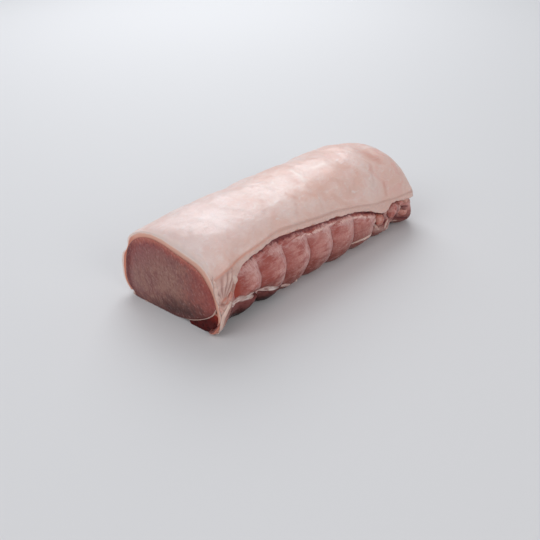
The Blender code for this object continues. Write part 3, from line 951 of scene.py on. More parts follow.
def bridged(along, angle):
    """Reach of the meat smoothed over its neighbourhood, as a membrane bridges a step."""
    steps = (-1, 0, 1)
    reaches = [over_meat(along + i * SPREAD_ALONG, angle + j * SPREAD_ROUND) for i in steps for j in steps]
    return (sum(reaches) / len(reaches) + max(reaches)) / 2.0


def silver_film(start, end, first, last, half_width, folds):
    """A folded ribbon of silverskin along the near wall."""
    count = round((end - start) / FILM_STEP)
    places = [start + (end - start) * index / count for index in range(count + 1)]

    def run(along):
        return (along - start) / (end - start)

    def angle_at(along, share):
        taper = math.sqrt(max(math.sin(math.pi * run(along)), 0.0)) + FILM_TIP
        seed = FILM_SEEDS[0] if share < 0.5 else FILM_SEEDS[1]
        wander = FILM_WANDER * half_width * noise.noise(Vector((along / FILM_WANDER_SIZE, seed, 0.0)))
        middle = first + (last - first) * run(along)
        return middle + ((2.0 * share - 1.0) * half_width * taper + wander) / NEAR_REACH

    def inside(along, angle, share):
        return bridged(along, angle) - TOUCH

    def outside(along, angle, share):
        fold = math.sin(math.tau * (folds * share + FILM_TWIST * (along - start)))
        return bridged(along, angle) + (FILM_LIFT + FILM_FOLD * fold) * math.sqrt(math.sin(math.pi * share))

    return plain_layer(places, FILM_COLUMNS, angle_at, outside, inside)


def joined(forms):
    """One form out of several, which are freed."""
    whole = forms[0]
    for bm in forms[1:]:
        mesh = bpy.data.meshes.new("part")
        bm.to_mesh(mesh)
        bm.free()
        whole.from_mesh(mesh)
        bpy.data.meshes.remove(mesh)
    return whole


film_bm = joined([silver_film(*film) for film in FILMS])
print(f"Silverskin: {len(FILMS)} ribbons, {len(film_bm.faces)} faces")

# %% [markdown]
# ## Strands, knobs and scraps
#
# Where the knife left the loin it tore rather than cut: soft strands of fat hang at the front corner, a
# pale seam parts the two muscles in the cut face, and lumps and scraps of trim cling to the back end. A
# curve with a bevel would give each a round tube. A ball drawn out along a short route over the surface
# closes softly at both ends, can be flatter than wide, and can swell from point to point.

# %% Strand helper
STRAND_SIDES, STRAND_STEP, FEWEST_RINGS, MEASURES = 20, 0.0006, 10, 20
STRAND_FLAT, STRAND_BLUNT, LOOK_AHEAD, RAY_MARGIN = 0.60, 0.6, 0.02, 0.0005
STRAND_LUMP, STRAND_LUMP_SIZE, STRAND_LUMP_TURN = 0.35, 0.0038, 0.002


def strand(route, reach_at, pale=0.0, dark=0.0, warm=0.0):
    """A soft strand through places of (along, degrees, lift, half width), all lengths in millimetres."""
    count = len(route) - 1
    along_line, angle_line, lift_line, width_line = (
        [(index / count, row[part]) for index, row in enumerate(route)] for part in range(4)
    )

    def centre(share):
        along = follow(share, along_line) / 1000
        angle = math.radians(follow(share, angle_line))
        inside = min(max(along, RAY_MARGIN), RUN - RAY_MARGIN)
        return locate(along, angle, reach_at(inside, angle) + follow(share, lift_line) / 1000)

    length = sum((centre((i + 1) / MEASURES) - centre(i / MEASURES)).length for i in range(MEASURES))
    rings = max(FEWEST_RINGS, round((length + 2.0 * width_line[0][1] / 1000) / STRAND_STEP))
    bm = bmesh.new()
    bmesh.ops.create_uvsphere(bm, u_segments=STRAND_SIDES, v_segments=rings, radius=1.0)
    layers = note_layers(bm)
    for vert in bm.verts:
        polar = math.acos(max(min(vert.co.z, 1.0), -1.0))
        turned = math.atan2(vert.co.y, vert.co.x)
        share = (1.0 - math.cos(polar)) / 2.0
        ahead = (centre(min(share + LOOK_AHEAD, 1.0)) - centre(max(share - LOOK_AHEAD, 0.0))).normalized()
        angle = math.radians(follow(share, angle_line))
        outward = Vector((0.0, math.cos(angle), math.sin(angle)))
        outward = (outward - outward.dot(ahead) * ahead).normalized()
        radius = follow(share, width_line) / 1000 * math.sin(polar) ** STRAND_BLUNT
        lump = noise.noise((centre(share) + outward * STRAND_LUMP_TURN * turned) / STRAND_LUMP_SIZE)
        radius *= 1.0 + STRAND_LUMP * lump
        aside = ahead.cross(outward)
        offset = aside * math.cos(turned) + outward * math.sin(turned) * STRAND_FLAT
        cap = ahead * (2.0 * share - 1.0) * follow(share, width_line) / 1000 * STRAND_BLUNT
        vert.co = centre(share) + offset * radius + cap * (1.0 - math.sin(polar))
        write_notes(vert, layers, along=share, depth=0.5 - 0.5 * math.sin(turned) * math.sin(polar))
        write_notes(vert, layers, pale=pale, dark=dark, warm=warm)
    bmesh.ops.recalc_face_normals(bm, faces=bm.faces)
    return bm


print(f"A strand has {STRAND_SIDES} sides and a ring each {1000 * STRAND_STEP:.1f} mm")

# %% [markdown]
# ## Folds of fat at the front near corner
#
# The flap ends in a thick pale rim and a rounded foot, a knob closes the fat's edge where it turns down,
# and small folds and a nodule lie between them. They could be modelled apart and set down by hand, but
# each has to rest on whatever is outermost there. So the rule for all three forms gives its reach.

# %% Folds at the corner and the seam in the cut face
CORNER_STRANDS = (
    # a pale tongue and the knob that ends the fat's edge, each with how pale, dark and warm it is
    (((0.9, 150, -1.5, 1.4), (0.9, 158, -1.4, 1.9), (0.8, 168, -1.3, 2.2), (1.0, 177, -1.5, 1.6)),
     0.7, 0.0, 0.0),
    (((11.8, 154.0, -1.4, 1.8), (14.0, 159.5, -0.5, 2.4), (13.6, 165.5, -1.4, 1.5)), 0.75, 0.0, 0.0),
    # a pink fold and a nodule
    (((10.2, 167, -1.0, 1.2), (8.4, 171, -0.1, 1.7), (6.0, 175, -0.3, 1.5), (3.6, 177.5, -0.8, 1.0)),
     0.3, 0.0, 0.5),
    (((0.2, 178.5, -0.6, 1.2), (0.6, 181.5, 0.1, 1.7), (0.9, 185.0, -0.6, 1.1)), 0.45, 0.0, 0.5),
    # the flap's pale rim, its foot, and the foot's own rim
    (
        ((9.2, 176, -0.8, 1.7), (5.0, 180.4, 0.1, 1.9), (2.0, 184.8, 0.2, 1.7),
         (0.5, 190, 0.0, 1.5), (0.1, 197, -0.3, 1.3), (0.0, 204, -0.7, 1.0)),
        0.9, 0.0, 0.0,
    ),
    (((0.5, 193, -1.4, 1.2), (-0.3, 199, -1.6, 2.2), (-0.9, 205, -2.1, 2.8), (-0.6, 211, -2.8, 1.8)),
     0.2, 0.0, 0.9),
    (((0.2, 203.0, 0.1, 0.7), (-0.8, 207.0, -0.4, 1.0), (-1.6, 210.0, -1.8, 0.9)), 0.8, 0.0, 0.3),
)
SEAM = (
    (0.1, 238, 0.0, 0.4), (-0.1, 226, 0.1, 0.6), (-0.2, 212, 0.1, 0.5),
    (-0.2, 199, 0.1, 0.6), (-0.1, 189, 0.0, 1.0), (0.3, 183, -0.8, 1.3),
)
SEAM_TINTS = (0.7, 0.0, 0.2)
scraps = [strand(route, over_all, *tints) for route, *tints in CORNER_STRANDS]
scraps.append(strand(SEAM, eye, *SEAM_TINTS))
print(f"{len(CORNER_STRANDS)} folds at the corner and a seam")

# %% [markdown]
# ## Lumps and scraps at the back end
#
# The back of the near side is a heap of trimmed ends: a round lump, two lobes of the tail and a rimmed
# lump, with pale bands of fat between them and scraps along the base. The solids carry the large swells,
# and these rounder lumps lie over them, as one muscle lies over another, with a dark gap round each that
# is partly painted shade.

# %% Lumps and scraps
END_TRIM = (
    # a round lump and the tail's lobes
    (((183.0, 177.6, -2.8, 5.0), (185.6, 180.0, -1.0, 6.2), (188.2, 182.6, -2.8, 5.0)), 0.1, 0.0, 0.0),
    (((197.0, 195.0, -2.4, 2.4), (203.0, 196.0, -0.9, 3.4), (208.0, 195.0, -2.6, 2.6)), 0.2, 0.0, 0.3),
    (((201.0, 174.5, -0.8, 2.4), (205.6, 178.0, 0.6, 3.4), (209.0, 184.0, -1.0, 2.6)), 0.45, 0.0, 0.65),
    # a pale band between them, and a lump with a pale rim on each side
    (((194.0, 180.0, -1.4, 1.2), (197.8, 186.0, -0.5, 1.9), (200.2, 190.5, -1.2, 1.3)), 0.75, 0.0, 0.0),
    (((172.2, 183.5, -1.8, 3.6), (174.4, 189.5, -0.7, 4.8), (174.6, 196.0, -1.6, 3.6)), 0.2, 0.1, 0.4),
    (
        ((168.6, 179.0, -1.0, 0.8), (168.8, 187.0, -0.3, 1.2), (170.4, 194.0, -0.3, 1.3),
         (173.4, 201.0, -0.5, 1.3), (177.4, 203.5, -0.9, 0.9)),
        0.6, 0.0, 0.1,
    ),
    (
        ((181.4, 182.0, -1.0, 0.8), (180.6, 190.0, -0.5, 1.3), (179.4, 198.0, -0.5, 1.4),
         (180.6, 204.0, -0.9, 1.0)),
        0.6, 0.0, 0.1,
    ),
    # scraps along the base, a long pale strand, and a loose bit under the third rib
    (((181.0, 202.0, -1.0, 1.8), (184.0, 205.0, -0.6, 2.0), (187.0, 206.0, -1.2, 1.4)), 0.7, 0.0, 0.0),
    (((191.6, 206.0, -0.8, 1.1), (196.0, 206.0, -0.5, 1.2), (202.0, 205.0, -0.9, 0.9)), 0.6, 0.0, 0.1),
    (
        ((140.0, 206.0, -0.9, 0.7), (148.0, 200.5, -0.3, 1.2), (156.5, 197.5, -0.3, 1.3),
         (164.0, 200.0, -0.5, 1.5), (170.0, 204.5, -0.9, 1.2)),
        0.7, 0.0, 0.0,
    ),
    (((78.6, 203.0, 0.0, 0.8), (79.8, 205.5, 0.3, 1.0)), 1.0, 0.0, 0.0),
)
FACE_BITS = (
    # two pale bits at the foot of the cut face, on the far side
    (((0.3, -26, -0.4, 1.2), (0.1, -29, -0.2, 1.1)), 1.0, 0.0, 0.0),
    (((0.2, -38, -0.4, 0.8), (0.1, -41, -0.2, 0.7)), 0.9, 0.0, 0.0),
)
scraps += [strand(route, over_meat, *tints) for route, *tints in END_TRIM]
scraps += [strand(route, eye, *tints) for route, *tints in FACE_BITS]
trim_bm = joined(scraps)
print(f"Strands and scraps: {len(trim_bm.faces)} faces")

# %% [markdown]
# ## Settling in the frame's box
#
# The relief has moved the surfaces by fractions of a millimetre, and everything was made with its front
# cut at 0. The object could be moved by its location, but a pattern in object coordinates would then
# slide. So one matrix moves and scales the vertices of all the forms together, until the two muscles and
# the fat fill the frame's box exactly.

# %% Settle the forms in the frame's box
def settle(forms):
    """Move and scale the forms together into the frame's box."""
    corners = [vert.co for bm in forms for vert in bm.verts]
    low = Vector([min(corner[i] for corner in corners) for i in range(3)])
    high = Vector([max(corner[i] for corner in corners) for i in range(3)])
    scale = Matrix.Diagonal([(frame_box[1][i] - frame_box[0][i]) / (high - low)[i] for i in range(3)] + [1.0])
    fit = Matrix.Translation(frame_box[0]) @ scale @ Matrix.Translation(-low)
    for bm in forms:
        bmesh.ops.transform(bm, matrix=fit, verts=bm.verts)
    return fit


fit = settle([eye_bm, fat_bm, strip_bm])
for bm in (film_bm, trim_bm):
    bmesh.ops.transform(bm, matrix=fit, verts=bm.verts)
    for vert in bm.verts:
        vert.co.z = max(vert.co.z, 0.0)
print("Moved by", [round(1000 * value, 2) for value in fit.translation], "mm")

# %% [markdown]
# ## Finishes as expressions
#
# A finish is a small program of nodes. Written with Python's own operators, a line of shader maths reads
# like a line of maths: the class below wraps a socket, and each operator on it adds the Math node that
# does the work.

# %% A value that varies over a surface
class Value:
    """A number, a vector or a colour that varies over a surface."""

    def __init__(self, finish, socket):
        self.finish = finish
        self.socket = socket

    def math(self, operation, first, second=0.0):
        return self.finish.node("Math", {"operation": operation}, {0: first, 1: second})

    def __add__(self, other):
        return self.math("ADD", self, other)

    def __sub__(self, other):
        return self.math("SUBTRACT", self, other)

    def __rsub__(self, other):
        return self.math("SUBTRACT", other, self)

    def __mul__(self, other):
        return self.math("MULTIPLY", self, other)

    def __truediv__(self, other):
        return self.math("DIVIDE", self, other)

    def __pow__(self, other):
        return self.math("POWER", self, other)

    def __abs__(self):
        return self.math("ABSOLUTE", self)

    def bell(self, half_width):
        """Bell of height 1 about 0."""
        return self.math("EXPONENT", self * self * (-1.0 / half_width**2))

    __radd__ = __add__
    __rmul__ = __mul__


def wander(value, clouds, amount):
    """Push a value either way by clouds, so that an edge drawn from it wanders."""
    return value + (clouds - 0.5) * amount


print("Each of + - * / ** and abs adds one Math node")

# %% [markdown]
# ## One finish
#
# Every material here is one Principled shader, and only its colour, its roughness, its coat and a bump
# vary. The nodes could be added one by one in the editor. Here one method takes a node's type, its
# settings, and the values or links of its sockets, and a few short methods name the nodes that come up
# again and again.

# %% A finish
class Finish:
    """A procedural material of one Principled shader."""

    def __init__(self, name, **constants):
        self.material = bpy.data.materials.new(name)
        self.material.use_nodes = True
        self.tree = self.material.node_tree
        self.shader = self.tree.nodes["Principled BSDF"]
        for socket, value in constants.items():
            self.shader.inputs[socket.replace("_", " ")].default_value = value

    def node(self, kind, settings=None, sockets=None, output=0):
        """Add a node, set it, then fill or link its sockets. The value is one of its outputs."""
        node = self.tree.nodes.new("ShaderNode" + kind)
        for name, value in (settings or {}).items():
            setattr(node, name, value)
        for key, value in (sockets or {}).items():
            self.plug(node.inputs[key], value)
        return Value(self, node.outputs[output])

    def plug(self, socket, value):
        """Link a value to a socket, or set the socket to a plain number."""
        if isinstance(value, Value):
            self.tree.links.new(value.socket, socket)
        else:
            socket.default_value = value

    def note(self, name):
        """The number that each vertex carries under a name."""
        return self.node("Attribute", {"attribute_name": name}, output="Fac")

    def place(self):
        """Object coordinates, in metres."""
        return self.node("TexCoord", output="Object")

    def part(self, vector, axis):
        """One coordinate of a vector."""
        return self.node("SeparateXYZ", sockets={0: vector}, output=axis)

    def vector(self, x, y, z):
        """A vector of three values."""
        return self.node("CombineXYZ", sockets={0: x, 1: y, 2: z})

    def clouds(self, vector, size, detail=3.0, rough=0.55, warp=0.0):
        """Noise from 0 to 1, with features of a size in metres."""
        sockets = dict(Vector=vector, Scale=1.0 / size, Detail=detail, Roughness=rough, Distortion=warp)
        return self.node("TexNoise", sockets=sockets)

    def ease(self, value, start, stop, low=0.0, high=1.0):
        """Ease from low at start to high at stop."""
        settings = {"interpolation_type": "SMOOTHSTEP"}
        return self.node("MapRange", settings, {0: value, 1: start, 2: stop, 3: low, 4: high})

    def blend(self, share, first, second):
        """Mix of two colours."""
        settings = {"data_type": "RGBA", "clamp_factor": True}
        return self.node("Mix", settings, {0: share, 6: first, 7: second}, output=2)

    def painted(self, colour, *coats):
        """A colour under coats of (share, tone), laid on one after another."""
        for share, coat_tone in coats:
            colour = self.blend(share, colour, coat_tone)
        return colour

    def finish(self, colour, roughness, bumps, coat):
        """Link the shader. Each bump is a height in metres."""
        normal = self.node("Bump", sockets={"Strength": 1.0, "Distance": 1.0, "Height": bumps})
        varying = {"Base Color": colour, "Roughness": roughness, "Coat Weight": coat, "Normal": normal}
        for socket, value in varying.items():
            self.plug(self.shader.inputs[socket], value)
        return self.material


print("What varies: colour, roughness, coat and bump")

# %% Tones
def tone(red, green, blue):
    """Colour from screen values of 0 to 255."""
    shares = [level / 255 for level in (red, green, blue)]
    curved = [share / 12.92 if share <= 0.04045 else ((share + 0.055) / 1.055) ** 2.4 for share in shares]
    return curved + [1.0]


print("Middle grey is", round(tone(128, 128, 128)[0], 3), "in the shader's own scale")

# %% [markdown]
# ## Lean meat
#
# One finish serves the whole eye, and the notes say where it is. A cut face is mauve with a greyish
# middle and redder at its rim, and towards its foot it is painted browner and darker, as shade. Its fine
# flecks are muscle fibres seen end on, so they are small and short, and lean a little, as the knife left
# them. The colours are laid on as coats of paint, each with its own share.

# %% Wetness and tones of the lean meat
LEAN_WET = dict(IOR=1.38, Specular_IOR_Level=0.38, Coat_Roughness=0.18, Coat_IOR=1.33)
LEAN_SOFT = dict(Subsurface_Weight=0.12, Subsurface_Radius=(1.0, 0.30, 0.22), Subsurface_Scale=0.0022)
MAUVE, TAN, PURPLE = tone(138, 88, 84), tone(158, 114, 102), tone(146, 78, 82)
RIM_RED, RIM_ORANGE, FAR_MAROON = tone(156, 74, 68), tone(200, 120, 104), tone(112, 36, 36)
FOOT_SHADE, GRAIN_DARK, FLECK = tone(60, 30, 28), tone(112, 62, 62), tone(190, 156, 148)
ROSE, RIB_RED, WALL_LOW_SHADE, WARM = tone(190, 128, 120), tone(164, 84, 76), tone(108, 52, 44), tone(168, 64, 42)
SILVER, MEMBRANE_PALE = tone(208, 166, 164), tone(236, 204, 196)
HOLLOW_SHADE, RECESS_SHADE = tone(92, 30, 36), tone(106, 48, 52)
print(f"The lean lets light {1000 * LEAN_SOFT['Subsurface_Scale']:.1f} mm in")

# %% Colour of the cut faces
LARGE, STROKE_SIZE, FLECK_SIZE, FLECK_DEPTH = 0.020, 0.0040, 0.0016, 0.00016
STROKE_LEAN, STROKE_STRETCH = 0.30, 0.72
UPPER_PART, UPPER_SLOPE, NEAR_PART = (0.030, 0.064), 0.45, (0.008, 0.036)
FOOT, FOOT_TURN, FOOT_RISE = (0.024, 0.005), (-0.012, 0.026), 0.014
RIM_PART, RIM_HEIGHT, FAR_PART, FAR_RIM = (0.74, 1.00), (0.006, 0.030), (0.026, 0.040), (0.82, 0.95)
BLEEDING_RIM, BLEEDING_HEIGHT, BLEEDING_END = (0.86, 1.02), (0.026, 0.050), (0.040, 0.026)


def cut_face(lean, place, along):
    """Colour and grain height of the cut faces."""
    across, height, depth = lean.part(place, 1), lean.part(place, 2), lean.note("depth")
    strokes = lean.vector(along, across - height * STROKE_LEAN, height * STROKE_STRETCH)
    large, middling = lean.clouds(place, LARGE, 2.0), lean.clouds(strokes, STROKE_SIZE, 4.0, 0.65, 0.4)
    mottled = lean.clouds(strokes, FLECK_SIZE, 3.0, 0.65, 0.3)
    upper = lean.ease(wander(height + across * UPPER_SLOPE, middling, 0.050), *UPPER_PART)
    near = lean.ease(wander(across * -1.0, middling, 0.060), *NEAR_PART)
    foot = lean.ease(wander(height + lean.ease(across, *FOOT_TURN) * FOOT_RISE, middling, 0.012), *FOOT)
    rim = lean.ease(wander(depth, middling, 0.30), *RIM_PART) * lean.ease(height, *RIM_HEIGHT, 0.20, 0.9)
    far = lean.ease(across, *FAR_PART) * lean.ease(wander(depth, middling, 0.08), *FAR_RIM)
    bleeding = lean.ease(wander(depth, middling, 0.14), *BLEEDING_RIM) * lean.ease(height, *BLEEDING_HEIGHT)
    colour = lean.painted(
        lean.blend(lean.ease(large * 0.35 + middling * 0.65, 0.40, 0.60), MAUVE, TAN),
        (upper * 0.85, PURPLE),
        (near * 0.70, RIM_RED),
        # painted shade: the cut face turns browner and darker towards its foot
        (foot * 0.9, FOOT_SHADE),
        (rim, RIM_RED),
        (far, FAR_MAROON),
        (bleeding * lean.ease(across, *BLEEDING_END) * 0.85, RIM_ORANGE),
        (lean.ease(mottled, 0.50, 0.66) * 0.46, GRAIN_DARK),
        (lean.ease(mottled, 0.46, 0.30) * 0.36, FLECK),
    )
    return colour, mottled * -FLECK_DEPTH


print(f"Flecks {1000 * FLECK_SIZE:.1f} mm across on the cut faces")

# %% [markdown]
# ## The ribbed wall
#
# Here the same muscle is seen along its side, under a thin film. The film is silvery on the back half of
# every swell, partly as a painted sheen where the swell turns from view, and the grooves get painted
# shade, with fine threads that run with the ribs and others that run along the loin. Noise stretched one
# way makes each kind, and for the first its coordinates are bent as the ribs are. Under the fat's edge
# the film is torn, its pale scraps partly painted highlight, and the hollow there gets dark red painted
# shade. Towards the floor the wall is painted browner and darker, as shade.

# %% Colour of the ribbed wall
PATCH_SIZE, PATCH_ALONG, RISING = 0.0048, 0.40, 0.10
ARC_SIZE, ARC_ACROSS, ARC_UP, ARC_DEPTH = 0.0010, 0.15, 0.16, 0.00010
FIBRE_SIZE, FIBRE_ALONG, FIBRE_ACROSS, FIBRE_DEPTH = 0.00085, 0.14, 0.6, 0.00016
RIBBED_PART, PALER_PART = (0.88 * RUN, 0.80 * RUN), (0.25 * LENGTH, 0.65 * LENGTH)
TORN_PART, LOW_SHADE_PART, GROOVE_SHADE_HEIGHT = (0.34 * LENGTH, 0.40 * LENGTH), (0.025, 0.004), (0.040, 0.006)
HOLLOW_HEIGHT, HOLLOW_PART = (0.006, 0.014), (0.0042, 0.0010)
FILM_EDGE, FILM_SPREAD, TORN_SPREAD, HAIR_WIDTH, BIT_SIZE = 0.0065, 0.0030, 0.0010, 0.030, 0.0030


def rib_wall(lean, place, along):
    """Colour and thread height of the ribbed wall."""
    across, height, edge = lean.part(place, 1), lean.part(place, 2), lean.note("edge")
    rising = height - along * RISING
    bent = along + ((height - RIB_MIDDLE) / RIB_SPREAD) ** 2.0 * RIB_BEND
    share = lean.node("Math", {"operation": "FRACT"}, {0: (bent - FIRST_GROOVE) / RIB_PITCH})
    large = lean.clouds(place, LARGE, 2.0)
    middling = lean.clouds(lean.vector(along * PATCH_ALONG, across, rising), PATCH_SIZE, 4.0, 0.60, 0.4)
    arcs = lean.clouds(lean.vector(bent, across * ARC_ACROSS, height * ARC_UP), ARC_SIZE, 3.0, 0.65)
    fibre_place = lean.vector(along * FIBRE_ALONG, across * FIBRE_ACROSS, rising)
    fibres = lean.clouds(fibre_place, FIBRE_SIZE, 4.0, 0.65)
    bits = lean.clouds(lean.vector(along, across, height), BIT_SIZE, 3.0, 0.6)
    ribbed, further = lean.ease(along, *RIBBED_PART), lean.ease(along, *PALER_PART)
    patchy = lean.ease(middling * 0.6 + large * 0.4, 0.38, 0.62)
    reddest = lean.ease(wander(share, middling, 0.40), 0.55, 0.05) * ribbed
    base = lean.ease(wander(height, middling, 0.014), *LOW_SHADE_PART)
    under = wander(edge - FILM_EDGE, arcs, 0.003).bell(FILM_SPREAD) * lean.ease(middling, 0.42, 0.58)
    torn = wander(edge - MEMBRANE_EDGE, arcs, 0.005).bell(TORN_SPREAD) * lean.ease(middling, 0.40, 0.52)
    # silverskin on the back half of each swell, partly a painted sheen where the swell turns from view
    film = lean.ease(wander(share, arcs, 0.40), 0.50, 0.95) * lean.ease(share, 1.0, 0.94) * ribbed
    hairs = abs(arcs - 0.5).bell(HAIR_WIDTH) * lean.ease(share, 0.35, 0.80, 0.15, 0.60)
    seam = lean.ease(share, 0.94, 1.0) + lean.ease(share, 0.07, 0.0)
    ragged = wander(wander(edge, bits, 0.0080), arcs, 0.0012)
    colour = lean.painted(
        lean.blend(lean.ease(patchy + further * 0.35, 0.0, 1.0), RIB_RED, ROSE),
        (reddest * (0.75 - further * 0.35), RIB_RED),
        # painted shade: the wall turns browner and darker towards the floor
        (base * 0.85, WALL_LOW_SHADE),
        (lean.ease(fibres, 0.48, 0.76) * 0.40, SILVER),
        (lean.ease(fibres, 0.50, 0.26) * 0.32, RIB_RED),
        (under * 0.55, SILVER),
        # pale scraps of torn film under the fat's edge, partly painted highlight
        (torn * lean.ease(along, *TORN_PART) * ribbed, MEMBRANE_PALE),
        (film * lean.ease(arcs, 0.25, 0.65, 0.15, 0.80), SILVER),
        (hairs * lean.ease(middling, 0.42, 0.58) * ribbed, MEMBRANE_PALE),
        # painted shade in the grooves between the swells
        (seam * ribbed * lean.ease(height, *GROOVE_SHADE_HEIGHT, 0.05, 0.55), HOLLOW_SHADE),
        (lean.ease(ragged, *HOLLOW_PART) * lean.ease(height, *HOLLOW_HEIGHT) * 0.9, RECESS_SHADE),
        (lean.note("warm") * 0.85, WARM),
        (lean.note("pale") * 0.8, MEMBRANE_PALE),
        # a mark's dark tint: painted shade in its hollow
        (lean.note("dark") * 0.9, HOLLOW_SHADE),
    )
    return colour, arcs * ARC_DEPTH + fibres * FIBRE_DEPTH


print(f"Threads {1000 * ARC_SIZE:.1f} mm apart with the ribs, and {1000 * FIBRE_SIZE:.2f} mm along the loin")

# %% Lean meat, whole
WET_PATCH, FINE_GRAIN, PATCH_DEPTH, FINE_DEPTH = 0.0070, 0.0011, 0.00022, 0.00012


def lean_finish():
    """Wet raw lean, on the cut faces and on the wall."""
    lean = Finish("lean_meat", **LEAN_WET, **LEAN_SOFT)
    place, along, cut = lean.place(), lean.note("along"), lean.note("cut")
    face_colour, grain = cut_face(lean, place, along)
    wall_colour, threads = rib_wall(lean, place, along)
    patchy, fine = lean.clouds(place, WET_PATCH, 4.0, 0.6), lean.clouds(place, FINE_GRAIN, 2.0)
    bumps = fine * FINE_DEPTH + patchy * PATCH_DEPTH + grain * cut + threads * (1.0 - cut)
    roughness = lean.ease(patchy, 0.35, 0.70, 0.32, 0.55)
    coat = lean.ease(fine, 0.45, 0.75, 0.05, 0.45)
    return lean.finish(lean.blend(cut, wall_colour, face_colour), roughness, bumps, coat)


lean_material = lean_finish()
print("Lean meat:", len(lean_material.node_tree.nodes), "nodes")

# %% [markdown]
# ## Back fat
#
# Fat is pale and lets light in, so it gets more subsurface scattering than the lean. It is never one
# colour: salmon blotches, whiter patches, lavender wisps and hair-fine veins lie over it, and it is
# rosier towards the back. One noise would look like marble, so each of these has a noise of its own
# size, and some keep to one part of the loin.

# %% Colour of the skin side
FAT_WET = dict(IOR=1.44, Specular_IOR_Level=0.5, Coat_Roughness=0.22, Coat_IOR=1.36)
FAT_SOFT = dict(Subsurface_Weight=0.22, Subsurface_Radius=(1.0, 0.55, 0.42), Subsurface_Scale=0.0030)
PALE_FAT, SALMON, WHITE_FAT = tone(230, 204, 196), tone(222, 184, 172), tone(238, 224, 217)
VEIN, LAVENDER, BLUSH = tone(212, 154, 144), tone(230, 218, 218), tone(216, 156, 144)
CUT_RIM = tone(244, 222, 212)
WISP_SIZE, WISP_ALONG, HAIR_SIZE, HAIR_FINE = 0.0034, 0.4, 0.0085, 0.012
ROSY_PART = (0.40 * LENGTH, 0.95 * LENGTH)
SHEEN_ANGLE, SHEEN_WIDTH, SHEEN_PART = math.radians(92), (1.05, 0.35), (0.100, 0.012)
RIM_ALONG = (0.0022, 0.0002)


def skin_side(fat, place, along, broad, patchy):
    """Colour of the skin side, with its wisps and hair lines."""
    stretched = fat.vector(along * WISP_ALONG, fat.part(place, 1), fat.part(place, 2))
    wisps = fat.clouds(stretched, WISP_SIZE, 5.0, 0.68, 1.2)
    veins = fat.clouds(place, HAIR_SIZE, 5.0, 0.6, 1.6)
    hair = abs(veins - 0.5).bell(HAIR_FINE) * fat.ease(broad, 0.38, 0.58)
    upward = fat.ease(abs(fat.note("angle") - SHEEN_ANGLE), *SHEEN_WIDTH)
    sheen = upward * fat.ease(wander(along, patchy, 0.030), *SHEEN_PART)
    colour = fat.painted(
        fat.blend(fat.ease(broad * 0.5 + patchy * 0.5, 0.40, 0.60), SALMON, PALE_FAT),
        (fat.ease(patchy, 0.60, 0.74) * 0.65, WHITE_FAT),
        (fat.ease(wisps, 0.54, 0.70) * 0.55, LAVENDER),
        (hair * 0.18, VEIN),
        (fat.ease(along, *ROSY_PART) * fat.ease(patchy, 0.50, 0.66) * 0.60, BLUSH),
        # painted sheen: a lavender highlight on the upward-facing skin towards the front
        (sheen * 0.42, LAVENDER),
        # a paler rim right at the front cut, partly painted highlight
        (fat.ease(wander(along, patchy, 0.0024), *RIM_ALONG) * 0.45, CUT_RIM),
    )
    return colour, wisps, hair


print(f"Wisps {1000 * WISP_SIZE:.1f} mm wide, {1000 * WISP_SIZE / WISP_ALONG:.1f} mm long")

# %% [markdown]
# ## The cut edge of the fat, and the flap
#
# Where the knife went through the fat, its near edge is greyer, with a line along the crease above it,
# peach at the front and painted shade further back. On the flap the folds get a painted highlight on
# their crests and painted shade in the lines between them, from the same fan of folds that shaped them:
# that fan was noted on each vertex, so colour and form can't drift apart.

# %% Colour of the near edge and the flap
EDGE_GREY, CREASE_PEACH, CREASE_SHADE = tone(206, 174, 164), tone(214, 140, 116), tone(182, 134, 120)
FLAP_PINK, FOLD_SHADE = tone(186, 144, 134), tone(150, 102, 94)
FLAP_WARM, FLAP_MAUVE = tone(196, 112, 88), tone(146, 98, 92)
BELOW_CREASE, ABOVE_CREASE, CREASE_SPREAD = (-0.0006, 0.0010), (-0.010, -0.001), 0.0010
PEACH_PART, STRONG_PART, FLAP_PART = (0.080, 0.022), (0.060, 0.020), (0.022, 0.016)
FOOT_ALONG, FOOT_HEIGHT, FOLD_WIDTH = (0.0015, 0.0050), (0.025, 0.018), 0.50


def near_edge(fat, colour, place, along, patchy, fine):
    """The skin side's colour with the knife's cut along the near edge, and the flap."""
    below = fat.note("crease")
    cut = fat.ease(below, *BELOW_CREASE)
    line = below.bell(CREASE_SPREAD) * fat.ease(along, *STRONG_PART, 0.40, 0.70)
    flap = cut * fat.ease(along, *FLAP_PART)
    fold = abs(fat.node("Math", {"operation": "SINE"}, {0: fat.note("fan") * math.pi}))
    fan_share = fat.note("groove")
    flap_foot = flap * fat.ease(along, *FOOT_ALONG) * fat.ease(fat.part(place, 2), *FOOT_HEIGHT)
    return fat.painted(
        colour,
        (fat.ease(below, *ABOVE_CREASE) * 0.45, SALMON),
        (cut * 0.6, fat.blend(fat.ease(fine, 0.40, 0.65), EDGE_GREY, SALMON)),
        # the crease's line: peach at the front, painted shade further back
        (line, fat.blend(fat.ease(along, *PEACH_PART), CREASE_SHADE, CREASE_PEACH)),
        (flap * fat.ease(patchy, 0.35, 0.60), FLAP_PINK),
        # painted highlight on the crests of the folds
        (fan_share * fold * 0.40, PALE_FAT),
        # painted shade in the lines between the folds
        (fan_share * fold.bell(FOLD_WIDTH) * 0.55, FOLD_SHADE),
        (flap_foot * 0.9, FLAP_MAUVE),
        (fat.note("warm") * 0.8, FLAP_WARM),
        (fat.note("pale") * 0.8, WHITE_FAT),
        # a mark's dark tint: painted shade in its hollow or crease
        (fat.note("dark") * 0.85, FOLD_SHADE),
    )


print(f"The crease's line is {2000 * CREASE_SPREAD:.0f} mm wide")

